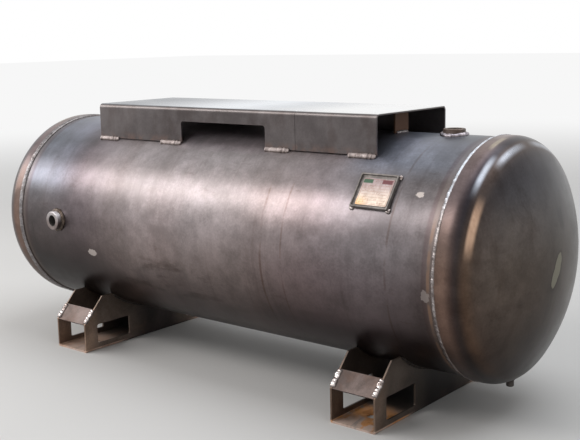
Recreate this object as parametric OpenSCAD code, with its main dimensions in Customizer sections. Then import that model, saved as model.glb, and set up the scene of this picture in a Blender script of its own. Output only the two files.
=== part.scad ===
// Horizontal pressure tank: a rolled shell with two dished heads lapped over its ends,
// two folded saddles on the floor and a folded mounting platform welded over the crown.
// Frame: X along the tank, Y across it with the data plate side at -Y, Z up from the floor.
// The origin is on the floor, midway between the saddles' anchor holes. Millimetres.

/* [Shell] */
// Outside diameter of the rolled shell
shell_od = 610; // [590:5:640]
// Thickness of the shell plate
shell_t = 5; // [4:0.5:8]
// Length of the rolled shell from end to end
shell_len = 1600; // [1500:10:1800]
// Height of the tank's axis above the floor
axis_h = 405; // [395:1:430]

/* [Heads] */
// Thickness of the head plate
head_t = 5; // [4:0.5:8]
// Radial gap between the shell and the head that laps over it
head_fit = 0.3; // [0.2:0.1:0.6]
// Length of shell that each head laps over
head_lap = 20; // [15:1:30]
// Length of each head's straight flange
head_flange = 25; // [22:1:40]
// Outside radius of each head's dished crown
crown_r = 525; // [450:5:600]
// Outside radius of each head's knuckle
knuckle_r = 68; // [45:1:90]
// Length of the weld's leg on the shell at each head
head_weld_leg = 8; // [6:0.5:11]
// Height of the weld's cap above the head
head_weld_cap = 1.6; // [1:0.1:2.5]
// Length of the weld's tail on each head
head_weld_tail = 6; // [4:0.5:8]

/* [Shell seam] */
// Width of the lengthwise weld cap along the shell
seam_w = 13; // [8:0.5:16]
// Height of the lengthwise weld cap
seam_h = 2.5; // [1.5:0.1:3]
// Angle of the lengthwise seam from the top, round the back
seam_angle = 100; // [75:1:115]

/* [Platform] */
// Length of the whole platform
platform_len = 1054; // [1000:2:1120]
// Width of the platform
platform_w = 330; // [300:2:350]
// Thickness of the platform plate
platform_t = 5; // [4:0.5:8]
// Height of the platform's top face above the tank's axis
platform_h = 365; // [356:1:380]
// Outside radius of the platform's folded edges
platform_bend_r = 13; // [9:0.5:16]
// Distance of the butt joint from the platform's right end
platform_right_len = 262; // [240:2:290]
// Gap between the two platform sections at their joint
platform_joint_gap = 0.6; // [0.4:0.1:1.5]
// Length of the notch in each skirt
notch_len = 324; // [280:2:360]
// Distance of the notches' middle from the tank's middle, toward the left end
notch_shift = 4; // [0:1:12]
// Height of the notch in each skirt
notch_h = 62; // [50:1:72]
// Radius of the notch's upper corners
notch_r = 8; // [5:0.5:14]
// Width of the stay plates under the platform
stay_w = 62; // [50:2:80]
// Thickness of the stay plates
stay_t = 6; // [5:0.5:10]
// Distance of each stay from its end of the platform
stay_inset = 36; // [24:1:50]
// Leg of the welds at the feet of the stays
stay_weld_leg = 6; // [4:0.5:8]
// Length of each stitch weld along the skirts
stitch_len = 87; // [60:1:100]
// Leg of the skirts' stitch welds
stitch_leg = 8; // [6:0.5:10]

/* [Saddles] */
// Distance between the two saddles' middles
saddle_pitch = 1100; // [1040:5:1160]
// Width of each saddle along the tank
saddle_w = 138; // [124:1:150]
// Length of each saddle across the tank
saddle_l = 620; // [606:2:640]
// Thickness of the saddles' folded plate
saddle_t = 5; // [4:0.5:5.5]
// Outside radius of the saddles' folds
saddle_bend_r = 6; // [6:0.5:12]
// Height of the upright front edge of each web
saddle_front_h = 91; // [80:1:104]
// Height of each web's level top edge
saddle_top_h = 170; // [160:1:180]
// Length of each web from shoulder to shoulder
saddle_shoulder_l = 470; // [450:2:500]
// Gap between the webs' cut edges and the shell
saddle_root_gap = 0.3; // [0.2:0.1:0.8]
// Length of each web window
window_l = 132; // [110:2:150]
// Height of each web window
window_h = 61; // [50:1:68]
// Height of the windows' lower edge above the floor
window_z = 21; // [16:1:28]
// Distance from the end of a web to the nearer edge of its window
window_end = 49; // [42:1:60]
// Radius of the windows' corners
window_r = 6; // [4:0.5:12]
// Diameter of the anchor holes
anchor_d = 34; // [26:1:40]
// Distance between the two anchor holes of a saddle
anchor_pitch = 440; // [410:2:470]
// Length of each sloping end plate, up the slope
end_plate_l = 58; // [44:1:74]
// Thickness of the end plates
end_plate_t = 5; // [4:0.5:8]
// Gap on each side of an end plate
end_plate_gap = 0.5; // [0.3:0.1:1]
// Height of the weld beads beside the end plates
end_weld_h = 3; // [2:0.5:5]
// Width of the weld beads beside the end plates
end_weld_w = 9; // [7:0.5:12]
// Leg of the saddle to shell welds
saddle_weld_leg = 6; // [5:0.5:9]

/* [Sockets] */
// Outside diameter of the front and top sockets
socket_d = 57; // [50:1:64]
// Bore of the front socket
front_bore_d = 34; // [28:1:38]
// How far the front socket stands out of the shell
front_stand = 22; // [18:1:32]
// Distance of the front socket from the shell's left end
front_inset = 208; // [180:2:240]
// Height of the front socket above the tank's axis
front_z = 9; // [0:1:30]
// Bore of the top socket
top_bore_d = 38; // [32:1:42]
// How far the top socket stands above the crown
top_stand = 16; // [12:1:26]
// Distance of the top socket from the shell's right end
top_inset = 148; // [120:2:170]
// Outside diameter of the drain socket
drain_d = 20; // [18:1:26]
// Bore of the drain socket
drain_bore_d = 11.5; // [10:0.5:14]
// How far the drain socket stands below the head
drain_stand = 17; // [14:1:24]
// Distance of the drain beyond the head's tangent line
drain_out = 14; // [13:1:18]
// Chamfer round the outer rim of each socket's face
socket_ease = 1.5; // [0.5:0.5:2.5]
// How far each socket reaches inside the wall
socket_in = 6; // [3:1:12]
// Gap between a socket and the hole that it passes through
socket_gap = 0.3; // [0.2:0.1:0.6]
// Leg of the welds round the front and top sockets
socket_weld_leg = 8; // [6:0.5:10]
// Leg of the weld round the drain socket
drain_weld_leg = 2.5; // [2:0.25:2.75]

/* [Data plate] */
// Width of the tray along the tank
tray_w = 110; // [100:1:130]
// Height of the tray round the shell
tray_h = 94; // [84:1:110]
// Height of the tray's rim above the shell at its middle
tray_rise = 9; // [7:0.5:12]
// Width of the tray's rim
tray_rim = 4; // [3:0.5:8]
// Depth of the tray's pocket
tray_pocket = 5; // [3:0.5:6]
// Corner radius of the tray
tray_r = 3; // [2:0.5:6]
// Thickness of the data plate
plate_t = 1.5; // [1:0.5:3]
// Gap between the data plate and the tray's rim, when it sits in the middle
plate_gap = 6; // [4:0.5:8]
// How far the plate sits toward the tray's right and lower edges
plate_shift = 2; // [0:0.5:3]
// Distance of the tray's middle from the shell's right end
tray_inset = 222; // [190:2:240]
// Angle of the tray from the top, toward the front
tray_angle = 53; // [47:1:60]
// Radius of the tack welds at the tray's corners
tack_r = 5; // [4:0.5:6]
// Height of the tack welds above the shell's skin
tack_h = 3; // [2:0.5:5]

/* [Hidden] */

smooth = 120;
// how far cutting shapes run on past what they cut, just clear of it or well clear
over = 1;
spare = 10;
// clearance where a piece stands on the shell or under the platform
seat_gap = 0.2;
// how deep welds and the tray are drawn below the skin, before it is cut out of them
root = 12;
shell_r = shell_od / 2;
shell_in_r = shell_r - shell_t;
head_r = shell_r + head_fit + head_t;
head_edge_x = shell_len / 2 - head_lap;
tangent_x = head_edge_x + head_flange;
crown_angle = asin((head_r - knuckle_r) / (crown_r - knuckle_r));
crown_centre = -(crown_r - knuckle_r) * cos(crown_angle);

skirt_y = platform_w / 2;
skirt_in_y = skirt_y - platform_t;
skirt_bottom = sqrt(pow(shell_r, 2) - pow(skirt_in_y, 2)) + seat_gap;
platform_under = platform_h - platform_t;
joint_x = platform_len / 2 - platform_right_len;
notch_left = -notch_shift - notch_len / 2;
notch_right = notch_left + notch_len;
stay_x = platform_len / 2 - stay_inset;
stay_weld_inset = 4;
stitch_hollow = 0.45;
stitch_toe = 0.6;
stitch_in = 0.5;
stitch_root = 30;

saddle_x = saddle_pitch / 2;
saddle_y = saddle_l / 2;
shoulder_y = saddle_shoulder_l / 2;
slope_angle = atan2(saddle_top_h - saddle_front_h, saddle_y - shoulder_y);
web_contact_y = sqrt(pow(shell_r, 2) - pow(axis_h - saddle_top_h, 2));
web_contact_angle = atan2(web_contact_y, axis_h - saddle_top_h);
window_y = saddle_y - window_end - window_l / 2;
plate_weld_inset = 2;
cradle_short = 1;

front_x = shell_len / 2 - front_inset;
front_skin_y = sqrt(pow(shell_r, 2) - pow(front_z, 2));
top_x = shell_len / 2 - top_inset;
drain_x = tangent_x + drain_out;
drain_skin = head_r - knuckle_r + sqrt(pow(knuckle_r, 2) - pow(drain_out, 2));
hole_reach = 15;

tray_x = shell_len / 2 - tray_inset;
tack_out = 1;
seam_end_gap = 1;
pocket_floor = shell_r + tray_rise - tray_pocket;

// Places its children on the tank's axis
module on_axis() {
    translate([0, 0, axis_h]) children();
}

// Turns a shape drawn along +Z so that it runs along +X
module along_x() {
    rotate([0, 90, 0]) rotate([0, 0, 90]) children();
}

// Copies its children to one side: 1 keeps them, -1 mirrors them across x = 0
module side_x(s) {
    mirror([s < 0 ? 1 : 0, 0, 0]) children();
}

// Copies its children to one side: 1 keeps them, -1 mirrors them across y = 0
module side_y(s) {
    mirror([0, s < 0 ? 1 : 0, 0]) children();
}

// The solid inside the shell's outer skin, used to cut seats
module shell_body(extra = 0) {
    on_axis() along_x()
        cylinder(h = shell_len, r = shell_r + extra, center = true, $fn = 3 * smooth);
}

// Rectangle with rounded corners, centred
module rounded_rect(w, h, r) {
    union() {
        square([w - 2 * r, h], center = true);
        square([w, h - 2 * r], center = true);
        for (x = [-1, 1], y = [-1, 1])
            translate([x * (w / 2 - r), y * (h / 2 - r)]) circle(r = r, $fn = 32);
    }
}

// Half of a torispherical head's section; inset moves it inward by the plate's thickness
module head_half(inset = 0, tail = 0) {
    r = head_r - inset;
    centre_r = head_r - knuckle_r;
    reach = 2 * crown_r;
    // crown, inside the cone through the knuckle's centre
    intersection() {
        translate([0, crown_centre]) circle(r = crown_r - inset, $fn = 3 * smooth);
        polygon([
            [0, crown_centre],
            [reach * sin(crown_angle), crown_centre + reach * cos(crown_angle)],
            [0, crown_centre + reach]
        ]);
        square([reach, reach]);
    }
    // knuckle
    intersection() {
        translate([centre_r, 0]) circle(r = knuckle_r - inset, $fn = 3 * smooth);
        square([reach, reach]);
    }
    // straight flange
    translate([0, -head_flange - tail]) square([r, head_flange + tail]);
}

module head_plate() {
    rotate_extrude($fn = smooth) difference() {
        head_half();
        head_half(head_t, over);
    }
}

module head(s) {
    color([0.33, 0.31, 0.30]) difference() {
        on_axis() side_x(s) translate([tangent_x, 0, 0]) along_x() head_plate();
        if (s > 0) at_drain() wall_cut(drain_d);
    }
}

// Section of the weld between the shell and a head's edge, as [radius, along the tank]
module head_weld_section() {
    cap = head_r + head_weld_cap;
    rise = cap - shell_r;
    toe = [for (a = [0:15:90]) [
        shell_r + rise * sin(a),
        head_edge_x - head_weld_leg * cos(a)
    ]];
    polygon(concat(toe, [
        [cap - head_weld_cap / 4, head_edge_x + head_weld_tail / 2],
        [head_r, head_edge_x + head_weld_tail],
        [head_r, head_edge_x],
        [shell_r, head_edge_x]
    ]));
}

module head_weld(s) {
    color([0.62, 0.61, 0.62]) on_axis() side_x(s) along_x()
        rotate_extrude($fn = smooth) head_weld_section();
}

module shell() {
    color([0.46, 0.43, 0.43]) difference() {
        on_axis() along_x() difference() {
            cylinder(h = shell_len, r = shell_r, center = true, $fn = smooth);
            cylinder(h = shell_len + 2 * over, r = shell_in_r, center = true, $fn = smooth);
        }
        at_front() wall_cut(socket_d);
        at_top() wall_cut(socket_d);
    }
}

// Low cap along the shell, as the part of a round bar that stands out of the skin
module shell_seam_weld() {
    len = 2 * (head_edge_x - head_weld_leg - seam_end_gap);
    bar_r = (pow(seam_w / 2, 2) + pow(seam_h, 2)) / (2 * seam_h);
    color([0.50, 0.48, 0.48]) difference() {
        on_axis() rotate([-seam_angle, 0, 0])
            translate([0, 0, shell_r + seam_h - bar_r]) along_x()
                cylinder(h = len, r = bar_r, center = true, $fn = 128);
        shell_body();
    }
}

// Inverted channel of the platform, as a sketch across the tank
module platform_section() {
    h = platform_h - skirt_bottom;
    difference() {
        channel_outline(platform_w, h, platform_bend_r);
        channel_outline(
            platform_w - 2 * platform_t, h - platform_t, platform_bend_r - platform_t
        );
    }
}

// Block with two rounded upper corners, standing on the skirts' bottom line
module channel_outline(w, h, r) {
    translate([-w / 2, skirt_bottom]) union() {
        square([w, h - r]);
        translate([r, 0]) square([w - 2 * r, h]);
        for (x = [r, w - r]) translate([x, h - r]) circle(r = r, $fn = 48);
    }
}

// A length of platform channel from x0 to x1
module platform_channel(x0, x1) {
    on_axis() translate([x0, 0, 0]) rotate([90, 0, 90])
        linear_extrude(x1 - x0) platform_section();
}

// Notch through both skirts, open at the bottom
module notch_cut() {
    on_axis() rotate([90, 0, 0]) linear_extrude(platform_w + 2 * spare, center = true)
        translate([0, skirt_bottom]) union() {
            translate([notch_left, -spare]) square([notch_len, spare + notch_h - notch_r]);
            translate([notch_left + notch_r, -spare])
                square([notch_len - 2 * notch_r, spare + notch_h]);
            for (x = [notch_left + notch_r, notch_right - notch_r])
                translate([x, notch_h - notch_r]) circle(r = notch_r, $fn = 32);
        }
}

module platform_left_section() {
    color([0.55, 0.54, 0.55]) difference() {
        platform_channel(-platform_len / 2, joint_x - platform_joint_gap);
        notch_cut();
    }
}

module platform_right_section() {
    color([0.55, 0.54, 0.55]) platform_channel(joint_x, platform_len / 2);
}

// Short cross plate between the crown and the platform
module stay(s) {
    color([0.42, 0.38, 0.35]) difference() {
        on_axis() translate([s * stay_x - stay_t / 2, -stay_w / 2, 0])
            cube([stay_t, stay_w, platform_under - seat_gap]);
        shell_body(seat_gap);
    }
}

// Bead on both faces of each stay where it stands on the crown
module stay_welds() {
    leg = stay_weld_leg;
    base = shell_r - root;
    color([0.60, 0.59, 0.60]) for (s = [-1, 1]) side_x(s) difference() {
        on_axis() for (f = [-1, 1])
            translate([stay_x + f * stay_t / 2, 0, 0]) side_x(f)
                rotate([90, 0, 0]) linear_extrude(stay_w - 2 * stay_weld_inset, center = true)
                    polygon([[0, base], [0, shell_r + leg], [leg, shell_r], [leg, base]]);
        shell_body();
    }
}

// Middles of the four stitch welds along a skirt, which end flush with its corners
stitch_x = [
    -platform_len / 2 + stitch_len / 2,
    notch_left - stitch_len / 2,
    notch_right + stitch_len / 2,
    platform_len / 2 - stitch_len / 2
];

// Bead between a skirt's foot and the shell, as a sketch of [across, up]
module stitch_section() {
    out_y = skirt_y + stitch_leg;
    in_y = skirt_in_y + stitch_in;
    hollow = stitch_leg * stitch_hollow;
    low = skirt_bottom - stitch_root;
    difference() {
        polygon([
            [skirt_y, skirt_bottom + stitch_leg],
            [skirt_y + hollow, skirt_bottom + hollow],
            [out_y, sqrt(pow(shell_r, 2) - pow(out_y, 2)) + stitch_toe],
            [out_y, low],
            [in_y, low],
            [in_y, skirt_bottom],
            [skirt_y, skirt_bottom]
        ]);
        circle(r = shell_r, $fn = 2 * smooth);
    }
}

module skirt_welds(s) {
    color([0.74, 0.66, 0.64]) on_axis() side_y(s)
        for (x = stitch_x) translate([x, 0, 0])
            rotate([90, 0, 90]) linear_extrude(stitch_len, center = true) stitch_section();
}

// Side view of a saddle: upright ends, sloping shoulders, level top
module saddle_outline() {
    polygon([
        [-saddle_y, 0],
        [saddle_y, 0],
        [saddle_y, saddle_front_h],
        [shoulder_y, saddle_top_h],
        [-shoulder_y, saddle_top_h],
        [-saddle_y, saddle_front_h]
    ]);
}

// End view of a saddle: a channel folded from one plate
module saddle_channel_section() {
    difference() {
        saddle_block(saddle_w, saddle_bend_r, 0);
        saddle_block(saddle_w - 2 * saddle_t, saddle_bend_r - saddle_t, saddle_t);
    }
}

module saddle_block(w, r, lift) {
    translate([0, lift]) union() {
        translate([-w / 2, r]) square([w, saddle_top_h + spare]);
        translate([-w / 2 + r, 0]) square([w - 2 * r, saddle_top_h + spare]);
        for (x = [-1, 1]) translate([x * (w / 2 - r), r]) circle(r = r, $fn = 48);
    }
}

module saddle(s) {
    color([0.30, 0.25, 0.22]) difference() {
        intersection() {
            translate([s * saddle_x, 0, 0]) rotate([90, 0, 0])
                linear_extrude(saddle_l + 2 * over, center = true) saddle_channel_section();
            translate([s * saddle_x, 0, 0]) rotate([90, 0, 90])
                linear_extrude(saddle_w + 2 * over, center = true) saddle_outline();
        }
        shell_body(saddle_root_gap);
        // windows through both webs
        for (y = [-1, 1])
            translate([s * saddle_x, y * window_y, window_z + window_h / 2])
                rotate([90, 0, 90]) linear_extrude(saddle_w + 2 * spare, center = true)
                    rounded_rect(window_l, window_h, window_r);
        // anchor holes through the base
        for (y = [-1, 1])
            translate([s * saddle_x, y * anchor_pitch / 2, -over])
                cylinder(h = saddle_t + 2 * over, d = anchor_d, $fn = 48);
    }
}

// Frame on a saddle's slope: origin at its lower edge, +X across, +Y up the slope, +Z outward
module on_slope(s, front) {
    translate([s * saddle_x, 0, 0]) side_y(front)
        translate([0, saddle_y, saddle_front_h])
            rotate([-slope_angle, 0, 0]) rotate([0, 0, 180]) children();
}

module end_plate(s, front) {
    w = saddle_w - 2 * saddle_t - 2 * end_plate_gap;
    color([0.58, 0.53, 0.52]) on_slope(s, front)
        translate([-w / 2, 0, -end_plate_t]) cube([w, end_plate_l, end_plate_t]);
}

// Beads that cover the joints between the end plates and the webs' sloping edges
module plate_welds(s) {
    bar_r = (pow(end_weld_w / 2, 2) + pow(end_weld_h, 2)) / (2 * end_weld_h);
    color([0.78, 0.76, 0.76]) for (front = [-1, 1], e = [-1, 1]) on_slope(s, front)
        translate([e * (saddle_w / 2 - end_weld_w / 2), end_plate_l / 2, 0])
            rotate([90, 0, 0]) linear_extrude(end_plate_l - 2 * plate_weld_inset, center = true)
                intersection() {
                    translate([0, end_weld_h - bar_r]) circle(r = bar_r, $fn = 48);
                    translate([-end_weld_w / 2, 0]) square([end_weld_w, end_weld_h]);
                }
}

// Fillets under the shell along the outer faces of a saddle's webs
module saddle_shell_welds(s) {
    sweep = 2 * (web_contact_angle - cradle_short);
    color([0.38, 0.35, 0.34]) for (e = [-1, 1])
        on_axis() translate([s * saddle_x, 0, 0]) side_x(e)
            translate([saddle_w / 2, 0, 0]) rotate([0, 90, 0]) rotate([0, 0, -sweep / 2])
                rotate_extrude(angle = sweep, $fn = smooth)
                    polygon([
                        [shell_r, 0],
                        [shell_r + saddle_weld_leg, 0],
                        [shell_r, saddle_weld_leg]
                    ]);
}

// Round socket with a bore and an eased rim, standing on z = 0 with its face at stand
module socket(d, bore, stand, inside) {
    len = stand + inside;
    translate([0, 0, -inside]) difference() {
        union() {
            cylinder(h = len - socket_ease, d = d, $fn = 64);
            translate([0, 0, len - socket_ease])
                cylinder(h = socket_ease, d1 = d, d2 = d - 2 * socket_ease, $fn = 64);
        }
        translate([0, 0, -over]) cylinder(h = len + 2 * over, d = bore, $fn = 64);
    }
}

// Weld metal round a socket: a cone with its leg above the skin, run on below it to meet a curve
module weld_cone(d, leg, below) {
    translate([0, 0, -below])
        cylinder(h = below + leg, r1 = d / 2 + leg + below, r2 = d / 2, $fn = 96);
}

// The space that a socket takes, used to cut its weld
module socket_bar(d) {
    cylinder(h = 2 * d, d = d, center = true, $fn = smooth);
}

// Frames of the three sockets: origin on the skin, +Z outward
module at_front() {
    on_axis() translate([-front_x, -front_skin_y, front_z]) rotate([90, 0, 0]) children();
}

module at_top() {
    on_axis() translate([top_x, 0, shell_r]) children();
}

module at_drain() {
    on_axis() translate([drain_x, 0, -drain_skin]) rotate([180, 0, 0]) children();
}

// Hole through the wall for a socket
module wall_cut(d) {
    cylinder(h = 2 * hole_reach, d = d + 2 * socket_gap, center = true, $fn = 64);
}

module front_socket() {
    color([0.55, 0.54, 0.54]) at_front()
        socket(socket_d, front_bore_d, front_stand, shell_t + socket_in);
}

module front_socket_weld() {
    color([0.62, 0.60, 0.58]) difference() {
        at_front() weld_cone(socket_d, socket_weld_leg, shell_t);
        at_front() socket_bar(socket_d);
        shell_body();
    }
}

module top_socket() {
    color([0.50, 0.49, 0.50]) at_top()
        socket(socket_d, top_bore_d, top_stand, shell_t + socket_in);
}

module top_socket_weld() {
    color([0.62, 0.60, 0.60]) difference() {
        at_top() weld_cone(socket_d, socket_weld_leg, shell_t);
        at_top() socket_bar(socket_d);
        shell_body();
    }
}

module drain_socket() {
    color([0.28, 0.26, 0.25]) at_drain()
        socket(drain_d, drain_bore_d, drain_stand, head_t + socket_in);
}

// The cone leans with the knuckle and runs on into the socket, which stands upright in it
module drain_socket_weld() {
    lean = asin(drain_out / knuckle_r);
    color([0.40, 0.38, 0.37]) difference() {
        at_drain() rotate([0, lean, 0])
            weld_cone(drain_d - 2 * over, drain_weld_leg + over, drain_weld_leg);
        at_drain() socket_bar(drain_d);
        on_axis() translate([tangent_x, 0, 0]) along_x()
            rotate_extrude($fn = 4 * smooth) head_half();
    }
}

// Frame of the data plate: origin on the shell's skin, +Z outward, +X along the tank
module at_tray() {
    on_axis() rotate([tray_angle, 0, 0]) translate([tray_x, 0, 0]) children();
}

module data_plate_tray() {
    color([0.50, 0.49, 0.49]) difference() {
        at_tray() difference() {
            translate([0, 0, shell_r - root]) linear_extrude(root + tray_rise)
                rounded_rect(tray_w, tray_h, tray_r);
            translate([0, 0, pocket_floor]) linear_extrude(tray_pocket + over)
                rounded_rect(tray_w - 2 * tray_rim, tray_h - 2 * tray_rim, tray_r);
        }
        shell_body(seat_gap);
    }
}

module data_plate() {
    w = tray_w - 2 * tray_rim - 2 * plate_gap;
    h = tray_h - 2 * tray_rim - 2 * plate_gap;
    color([0.80, 0.68, 0.48]) at_tray()
        translate([plate_shift, -plate_shift, pocket_floor])
            linear_extrude(plate_t) rounded_rect(w, h, tray_r);
}

// Tack welds at the tray's four corners
module data_plate_welds() {
    color([0.70, 0.70, 0.71]) difference() {
        at_tray() for (x = [-1, 1], y = [-1, 1])
            translate([x * (tray_w / 2 + tack_out), y * (tray_h / 2 + tack_out), shell_r - root])
                cylinder(h = root + tack_h, r = tack_r, $fn = 24);
        shell_body();
        at_tray() translate([0, 0, shell_r - root - over])
            linear_extrude(root + tray_rise + 2 * over) rounded_rect(tray_w, tray_h, tray_r);
    }
}

shell();
shell_seam_weld();
head(-1);  // left_head
head(1);  // right_head
head_weld(-1);  // left_head_weld
head_weld(1);  // right_head_weld
platform_left_section();
platform_right_section();
stay(-1);  // left_stay
stay(1);  // right_stay
stay_welds();
skirt_welds(-1);  // front_skirt_welds
skirt_welds(1);  // rear_skirt_welds
saddle(-1);  // left_saddle
saddle(1);  // right_saddle
end_plate(-1, -1);  // left_saddle_front_plate
end_plate(-1, 1);  // left_saddle_rear_plate
end_plate(1, -1);  // right_saddle_front_plate
end_plate(1, 1);  // right_saddle_rear_plate
plate_welds(-1);  // left_saddle_plate_welds
plate_welds(1);  // right_saddle_plate_welds
saddle_shell_welds(-1);  // left_saddle_shell_welds
saddle_shell_welds(1);  // right_saddle_shell_welds
front_socket();
front_socket_weld();
top_socket();
top_socket_weld();
drain_socket();
drain_socket_weld();
data_plate_tray();
data_plate();
data_plate_welds();
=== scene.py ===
"""Horizontal pressure tank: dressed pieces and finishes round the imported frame.

X runs along the tank, -Y is the side with the data plate, Z is up, all in metres.
"""

import logging
import math
from collections.abc import Callable, Sequence
from dataclasses import dataclass, fields, replace
from enum import Enum
from typing import Any

import bmesh
import bpy
from mathutils import Matrix, Vector


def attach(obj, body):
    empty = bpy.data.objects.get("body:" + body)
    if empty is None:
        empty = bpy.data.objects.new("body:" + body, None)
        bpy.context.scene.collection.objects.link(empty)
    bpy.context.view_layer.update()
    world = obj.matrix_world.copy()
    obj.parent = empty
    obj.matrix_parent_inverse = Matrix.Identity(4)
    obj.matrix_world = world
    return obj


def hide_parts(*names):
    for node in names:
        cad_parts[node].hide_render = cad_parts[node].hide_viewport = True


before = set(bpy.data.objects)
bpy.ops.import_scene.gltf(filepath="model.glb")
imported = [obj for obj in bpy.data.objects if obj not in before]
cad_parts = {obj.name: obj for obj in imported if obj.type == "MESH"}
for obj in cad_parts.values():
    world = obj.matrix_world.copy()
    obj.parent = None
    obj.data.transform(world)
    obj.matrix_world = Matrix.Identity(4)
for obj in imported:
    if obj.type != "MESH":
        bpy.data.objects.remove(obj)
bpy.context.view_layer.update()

LOG = logging.getLogger("tank")
Colour = tuple[float, float, float]
Point = tuple[float, float, float]
Pair = tuple[float, float]
Along = tuple[Vector, Vector]
Stops = tuple[tuple[float, Colour], ...]


class End(Enum):
    """An end of the tank, with the sign of its x."""

    LEFT = -1.0
    RIGHT = 1.0


class Flank(Enum):
    """A flank of the tank, with the sign of its y."""

    FRONT = -1.0
    REAR = 1.0


class Blend(Enum):
    """How a colour joins the one below it, as Blender names it."""

    COVER = "MIX"
    SHADE = "MULTIPLY"


class Fade(Enum):
    """How a mask runs along its scale."""

    RISE = "rise"
    FALL = "fall"
    BELL = "bell"


class Scale(Enum):
    """What a mask runs along: a coordinate, and whether its sign is dropped."""

    X = ("x", False)
    Y = ("y", False)
    Z = ("z", False)
    OUT = ("x", True)
    DEEP = ("y", True)
    TURN = ("turn", False)
    ROUND = ("turn", True)


X, Y, Z, OUT, DEEP, TURN, ROUND = Scale


def spread(first: float, last: float, steps: int) -> list[float]:
    """Return steps + 1 values from first to last."""
    return [first + (last - first) * i / steps for i in range(steps + 1)]


def circle(steps: int, rule: Callable[[float], Along]) -> list[Along]:
    """Return a closed path from what a rule gives at each angle."""
    return [rule(math.tau * i / steps) for i in range(steps)]


def linked(name: str, data: bpy.types.ID) -> bpy.types.Object:
    """Return a new object of this data, linked to the scene."""
    thing = bpy.data.objects.new(name, data)
    bpy.context.scene.collection.objects.link(thing)
    return thing


@dataclass(frozen=True)
class Barrel:
    """Sizes that every sub-assembly shares."""

    radius: float = 0.305
    wall: float = 0.005
    length: float = 1.6
    axis: float = 0.405
    head_radius: float = 0.3103
    edge: float = 0.780
    tangent: float = 0.805
    crown: float = 0.525
    knuckle: float = 0.068
    segments: int = 256

    def at(self, x: float, degrees: float, lift: float = 0.0) -> Vector:
        """Return the point on the shell at this angle from the top toward the front."""
        turn = math.radians(degrees)
        reach = self.radius + lift
        return Vector((x, -reach * math.sin(turn), self.axis + reach * math.cos(turn)))

    def out(self, degrees: float) -> Vector:
        """Return the outward direction at this angle from the top toward the front."""
        turn = math.radians(degrees)
        return Vector((0.0, -math.sin(turn), math.cos(turn)))

    def turned(self, along: float, radius: float, turn: float) -> Vector:
        """Place a turned point about the tank's axis."""
        return Vector((along, radius * math.sin(turn), self.axis + radius * math.cos(turn)))

    def skin(self, off: float) -> float:
        """Return how far the shell's skin lies from its middle plane, this far off the plane's normal."""
        return math.sqrt(self.radius ** 2 - off ** 2)

    def knuckle_fall(self, x: float) -> float:
        """Return how far the knuckle's skin lies from the centre of its bend, square to the axis."""
        return math.sqrt(self.knuckle ** 2 - (x - self.tangent) ** 2)


BARREL = Barrel()


@dataclass(frozen=True)
class Port:
    """A socket's place and sizes; the bore's radius is at the thread's root."""

    node: str
    spot: Vector
    way: Vector
    radius: float
    bore: float
    stand: float
    gap: float = 0.0003
    reach: float = 0.015

    def drill(self, piece: bpy.types.Object) -> None:
        """Cut the hole that the socket stands in through a piece."""
        Shaping.drill(piece, self.spot, self.way, self.radius + self.gap, self.reach)


FRONT_UP = 0.009
FRONT_PORT = Port(
    "front_socket", Vector((-0.592, -BARREL.skin(FRONT_UP), BARREL.axis + FRONT_UP)), Vector((0, -1, 0)),
    0.0285, 0.017, 0.022,
)
TOP_PORT = Port("top_socket", BARREL.at(0.652, 0.0), Vector((0, 0, 1)), 0.0285, 0.019, 0.016)
DRAIN_X = 0.819
DRAIN_DROP = BARREL.head_radius - BARREL.knuckle + BARREL.knuckle_fall(DRAIN_X)
DRAIN_PORT = Port(
    "drain_socket", Vector((DRAIN_X, 0.0, BARREL.axis - DRAIN_DROP)), Vector((0, 0, -1)),
    0.010, 0.00575, 0.017,
)


def operator(operation: str, swapped: bool = False) -> Callable[["Signal", Any], "Signal"]:
    """Return the method that joins a signal and another value by one maths node.

    Args:
        operation: The node's operation, as Blender names it.
        swapped: Whether the other value goes in first.

    Returns:
        The method.
    """

    def method(signal: "Signal", other: Any) -> "Signal":
        """Add the node and return its result."""
        return signal.calc(operation, *((other, signal) if swapped else (signal, other)))

    return method


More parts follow.
